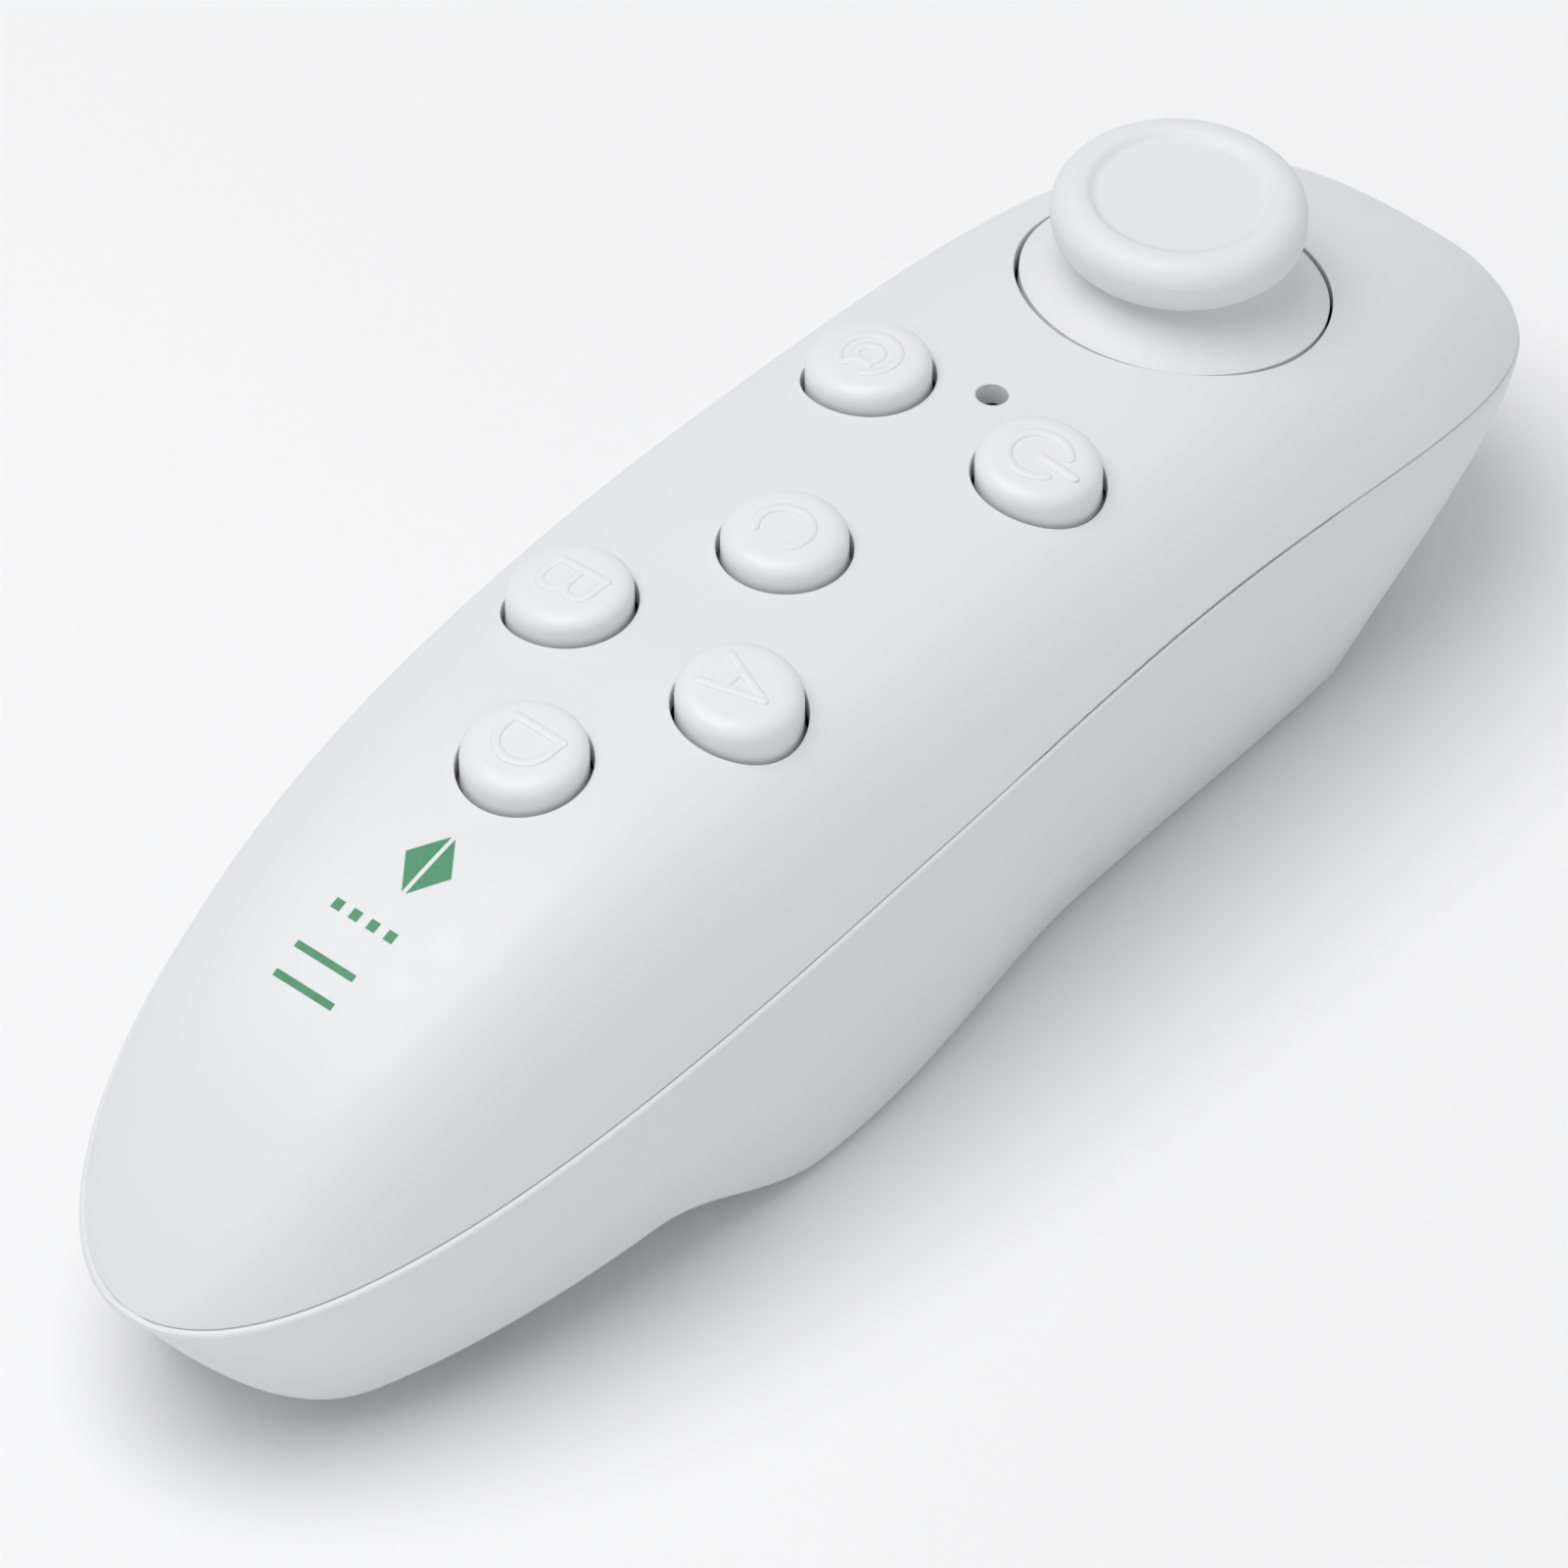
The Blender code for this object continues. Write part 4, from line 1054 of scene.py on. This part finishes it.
def ink_patch(name, rows):
    """A strip of print from rows of points in plan, laid on the skin and closed underneath."""
    across = len(rows[0])
    verts, faces = [], []
    for lift in (0.03, -0.05):
        for row in rows:
            verts += [(x, y, top_height(x, y) + lift) for x, y in row]
    half = len(rows) * across
    for k in range(len(rows) - 1):
        for j in range(across - 1):
            a = k * across + j
            faces.append((a, a + 1, a + across + 1, a + across))
            faces.append((a + half, a + across + half, a + across + 1 + half, a + 1 + half))
    last = len(rows) - 1
    border = list(range(across))
    border += [k * across + across - 1 for k in range(1, len(rows))]
    border += [last * across + j for j in range(across - 2, -1, -1)]
    border += [k * across for k in range(last - 1, 0, -1)]
    for a, b in zip(border, border[1:] + border[:1]):
        faces.append((b, a, a + half, b + half))
    obj = smooth(face_out(add_mesh(name, verts, faces, [INK])), 60.0)
    return attach(obj, "handset", "shell_white")


def ink_bar(name, low, high, steps=8):
    rows = []
    for k in range(steps + 1):
        x = low[0] + (high[0] - low[0]) * k / steps
        rows.append([(x, low[1] + (high[1] - low[1]) * j / steps) for j in range(steps + 1)])
    return ink_patch(name, rows)


DIAMOND_X, DIAMOND_LONG, DIAMOND_REACH = -39.6, 4.6, 1.7
SQUARES_LOW, SQUARES_HIGH, SQUARE_HALF = -42.7, -42.0, 0.35
BARS_X, BAR_WIDE, BAR_RIGHT, BAR_LEFT = -45.8, 0.45, -1.6, 3.2


def print_marks():
    """Plain green shapes behind the rear key: a diamond in two halves, a row of squares and two bars."""
    for side in (-1, 1):
        rows = []
        for k in range(9):
            u = k / 8
            x = DIAMOND_X + DIAMOND_LONG * u
            reach = DIAMOND_REACH * (1.0 - abs(2 * u - 1.0)) + 0.02
            rows.append([(x, -0.4 + side * (0.16 + reach * j / 4)) for j in range(5)])
        ink_patch(f"print_diamond_{'right' if side < 0 else 'left'}", rows)
    for k in range(4):
        y = 2.6 - 1.45 * k
        near, far = (SQUARES_LOW, y - SQUARE_HALF), (SQUARES_HIGH, y + SQUARE_HALF)
        ink_bar(f"print_square_{k + 1}", near, far, 4)
    for k in range(2):
        x = BARS_X - 2.0 * k
        ink_bar(f"print_bar_{k + 1}", (x, BAR_RIGHT), (x + BAR_WIDE, BAR_LEFT), 8)


KEPT = {
    DARK: ("stick_gimbal", "stick_housing", "pot_roll", "pot_pitch", "mode_switch", "bluetooth_chip"),
    STEEL: ("stick_shaft", "crystal", "contact_positive", "contact_bridge")
    + ("board_screw_1", "board_screw_2"),
    BOARD: ("main_board", "trigger_board"),
    CLEAR: ("status_led", "light_pipe"),
    RED: ("lead_red",),
    BLACK: ("lead_black",),
}


def kept_nodes():
    """CAD pieces whose shape is right get a finish, and small bevels where they have square edges."""
    finishes = {node: material for material, nodes in KEPT.items() for node in nodes}
    for name in KEY_NAMES + ("trigger_lower", "trigger_upper"):
        finishes[f"switch_{name}"] = DARK
        finishes[f"plunger_{name}"] = KEY_WHITE
    for node, material in finishes.items():
        obj = frame["nodes"][node]
        obj.data.materials.clear()
        obj.data.materials.append(material)
        if not node.startswith("lead"):
            bevelled(obj, 0.08, 2, 50.0)


# ---------------------------------------------------------------- stage

FLOOR_Z = -0.2
SURROUND = 0.50
KEY_POWER, FILL_POWER = 4.8, 0.5


def area_light(name, direction, distance, size, power, colour):
    light = bpy.data.lights.new(name, "AREA")
    light.shape = "DISK"
    light.size = size
    light.energy = power
    light.color = colour
    obj = bpy.data.objects.new(name, light)
    towards = Vector(direction).normalized()
    obj.location = towards * distance
    obj.rotation_mode = "QUATERNION"
    obj.rotation_quaternion = towards.to_track_quat("Z", "Y")
    bpy.context.scene.collection.objects.link(obj)


def stage():
    """A pale floor, an even white surround and two soft lamps."""
    size = 6.0
    verts = [(-size, -size, 0.0), (size, -size, 0.0), (size, size, 0.0), (-size, size, 0.0)]
    mesh = bpy.data.meshes.new("floor")
    mesh.from_pydata(verts, [], [(0, 1, 2, 3)])
    floor = bpy.data.objects.new("floor", mesh)
    floor.location.z = FLOOR_Z * MM
    bpy.context.scene.collection.objects.link(floor)
    material, nodes, links = new_material("floor_paper")
    shade = spread(nodes, links, noise(nodes, links, 4.0), 0.0, 1.0)
    paper = mix(nodes, links, shade, (0.93, 0.93, 0.935), (0.91, 0.91, 0.915))
    links.new(paper, nodes["Principled BSDF"].inputs["Base Color"])
    nodes["Principled BSDF"].inputs["Roughness"].default_value = 0.85
    mesh.materials.append(material)
    world = bpy.data.worlds.new("surround")
    bpy.context.scene.world = world
    world.use_nodes = True
    bpy.context.scene.view_settings.view_transform = "Standard"
    world.node_tree.nodes["Background"].inputs["Color"].default_value = (0.97, 0.98, 1.0, 1.0)
    world.node_tree.nodes["Background"].inputs["Strength"].default_value = SURROUND
    area_light("key_lamp", (-0.2, 0.15, 1.0), 0.9, 0.8, KEY_POWER, (1.0, 0.99, 0.98))
    area_light("fill_lamp", (-0.8, -1.0, 0.5), 1.0, 1.0, FILL_POWER, (0.97, 0.985, 1.0))


# Camera: where it looks, from which side and how far, and how far the aim is off the middle.
CAMERA_AIM = (0.0, 0.0, 33.2)
CAMERA_AZIMUTH, CAMERA_ELEVATION = math.radians(-49.09), math.radians(43.89)
CAMERA_DISTANCE = 1.0
CAMERA_LENS = 364.6
CAMERA_SHIFT = (-0.0224, -0.1659)


def camera():
    a, e = CAMERA_AZIMUTH, CAMERA_ELEVATION
    back = Vector((math.sin(a) * math.cos(e), -math.cos(a) * math.cos(e), math.sin(e)))
    data = bpy.data.cameras.new("camera")
    data.sensor_width = 36.0
    data.lens = CAMERA_LENS
    data.shift_x, data.shift_y = CAMERA_SHIFT
    data.clip_start, data.clip_end = 0.01, 20.0
    obj = bpy.data.objects.new("camera", data)
    obj.location = Vector(CAMERA_AIM) * MM + back * CAMERA_DISTANCE
    obj.rotation_mode = "QUATERNION"
    obj.rotation_quaternion = back.to_track_quat("Z", "Y")
    bpy.context.scene.collection.objects.link(obj)
    bpy.context.scene.camera = obj


top_shell()
finished_bottom()
for key_name in KEY_NAMES:
    key(key_name)
stick()
triggers()
battery_cover()
mode_slider()
case_screws()
cells()
springs()
print_marks()
kept_nodes()
stage()
camera()

bpy.context.view_layer.update()
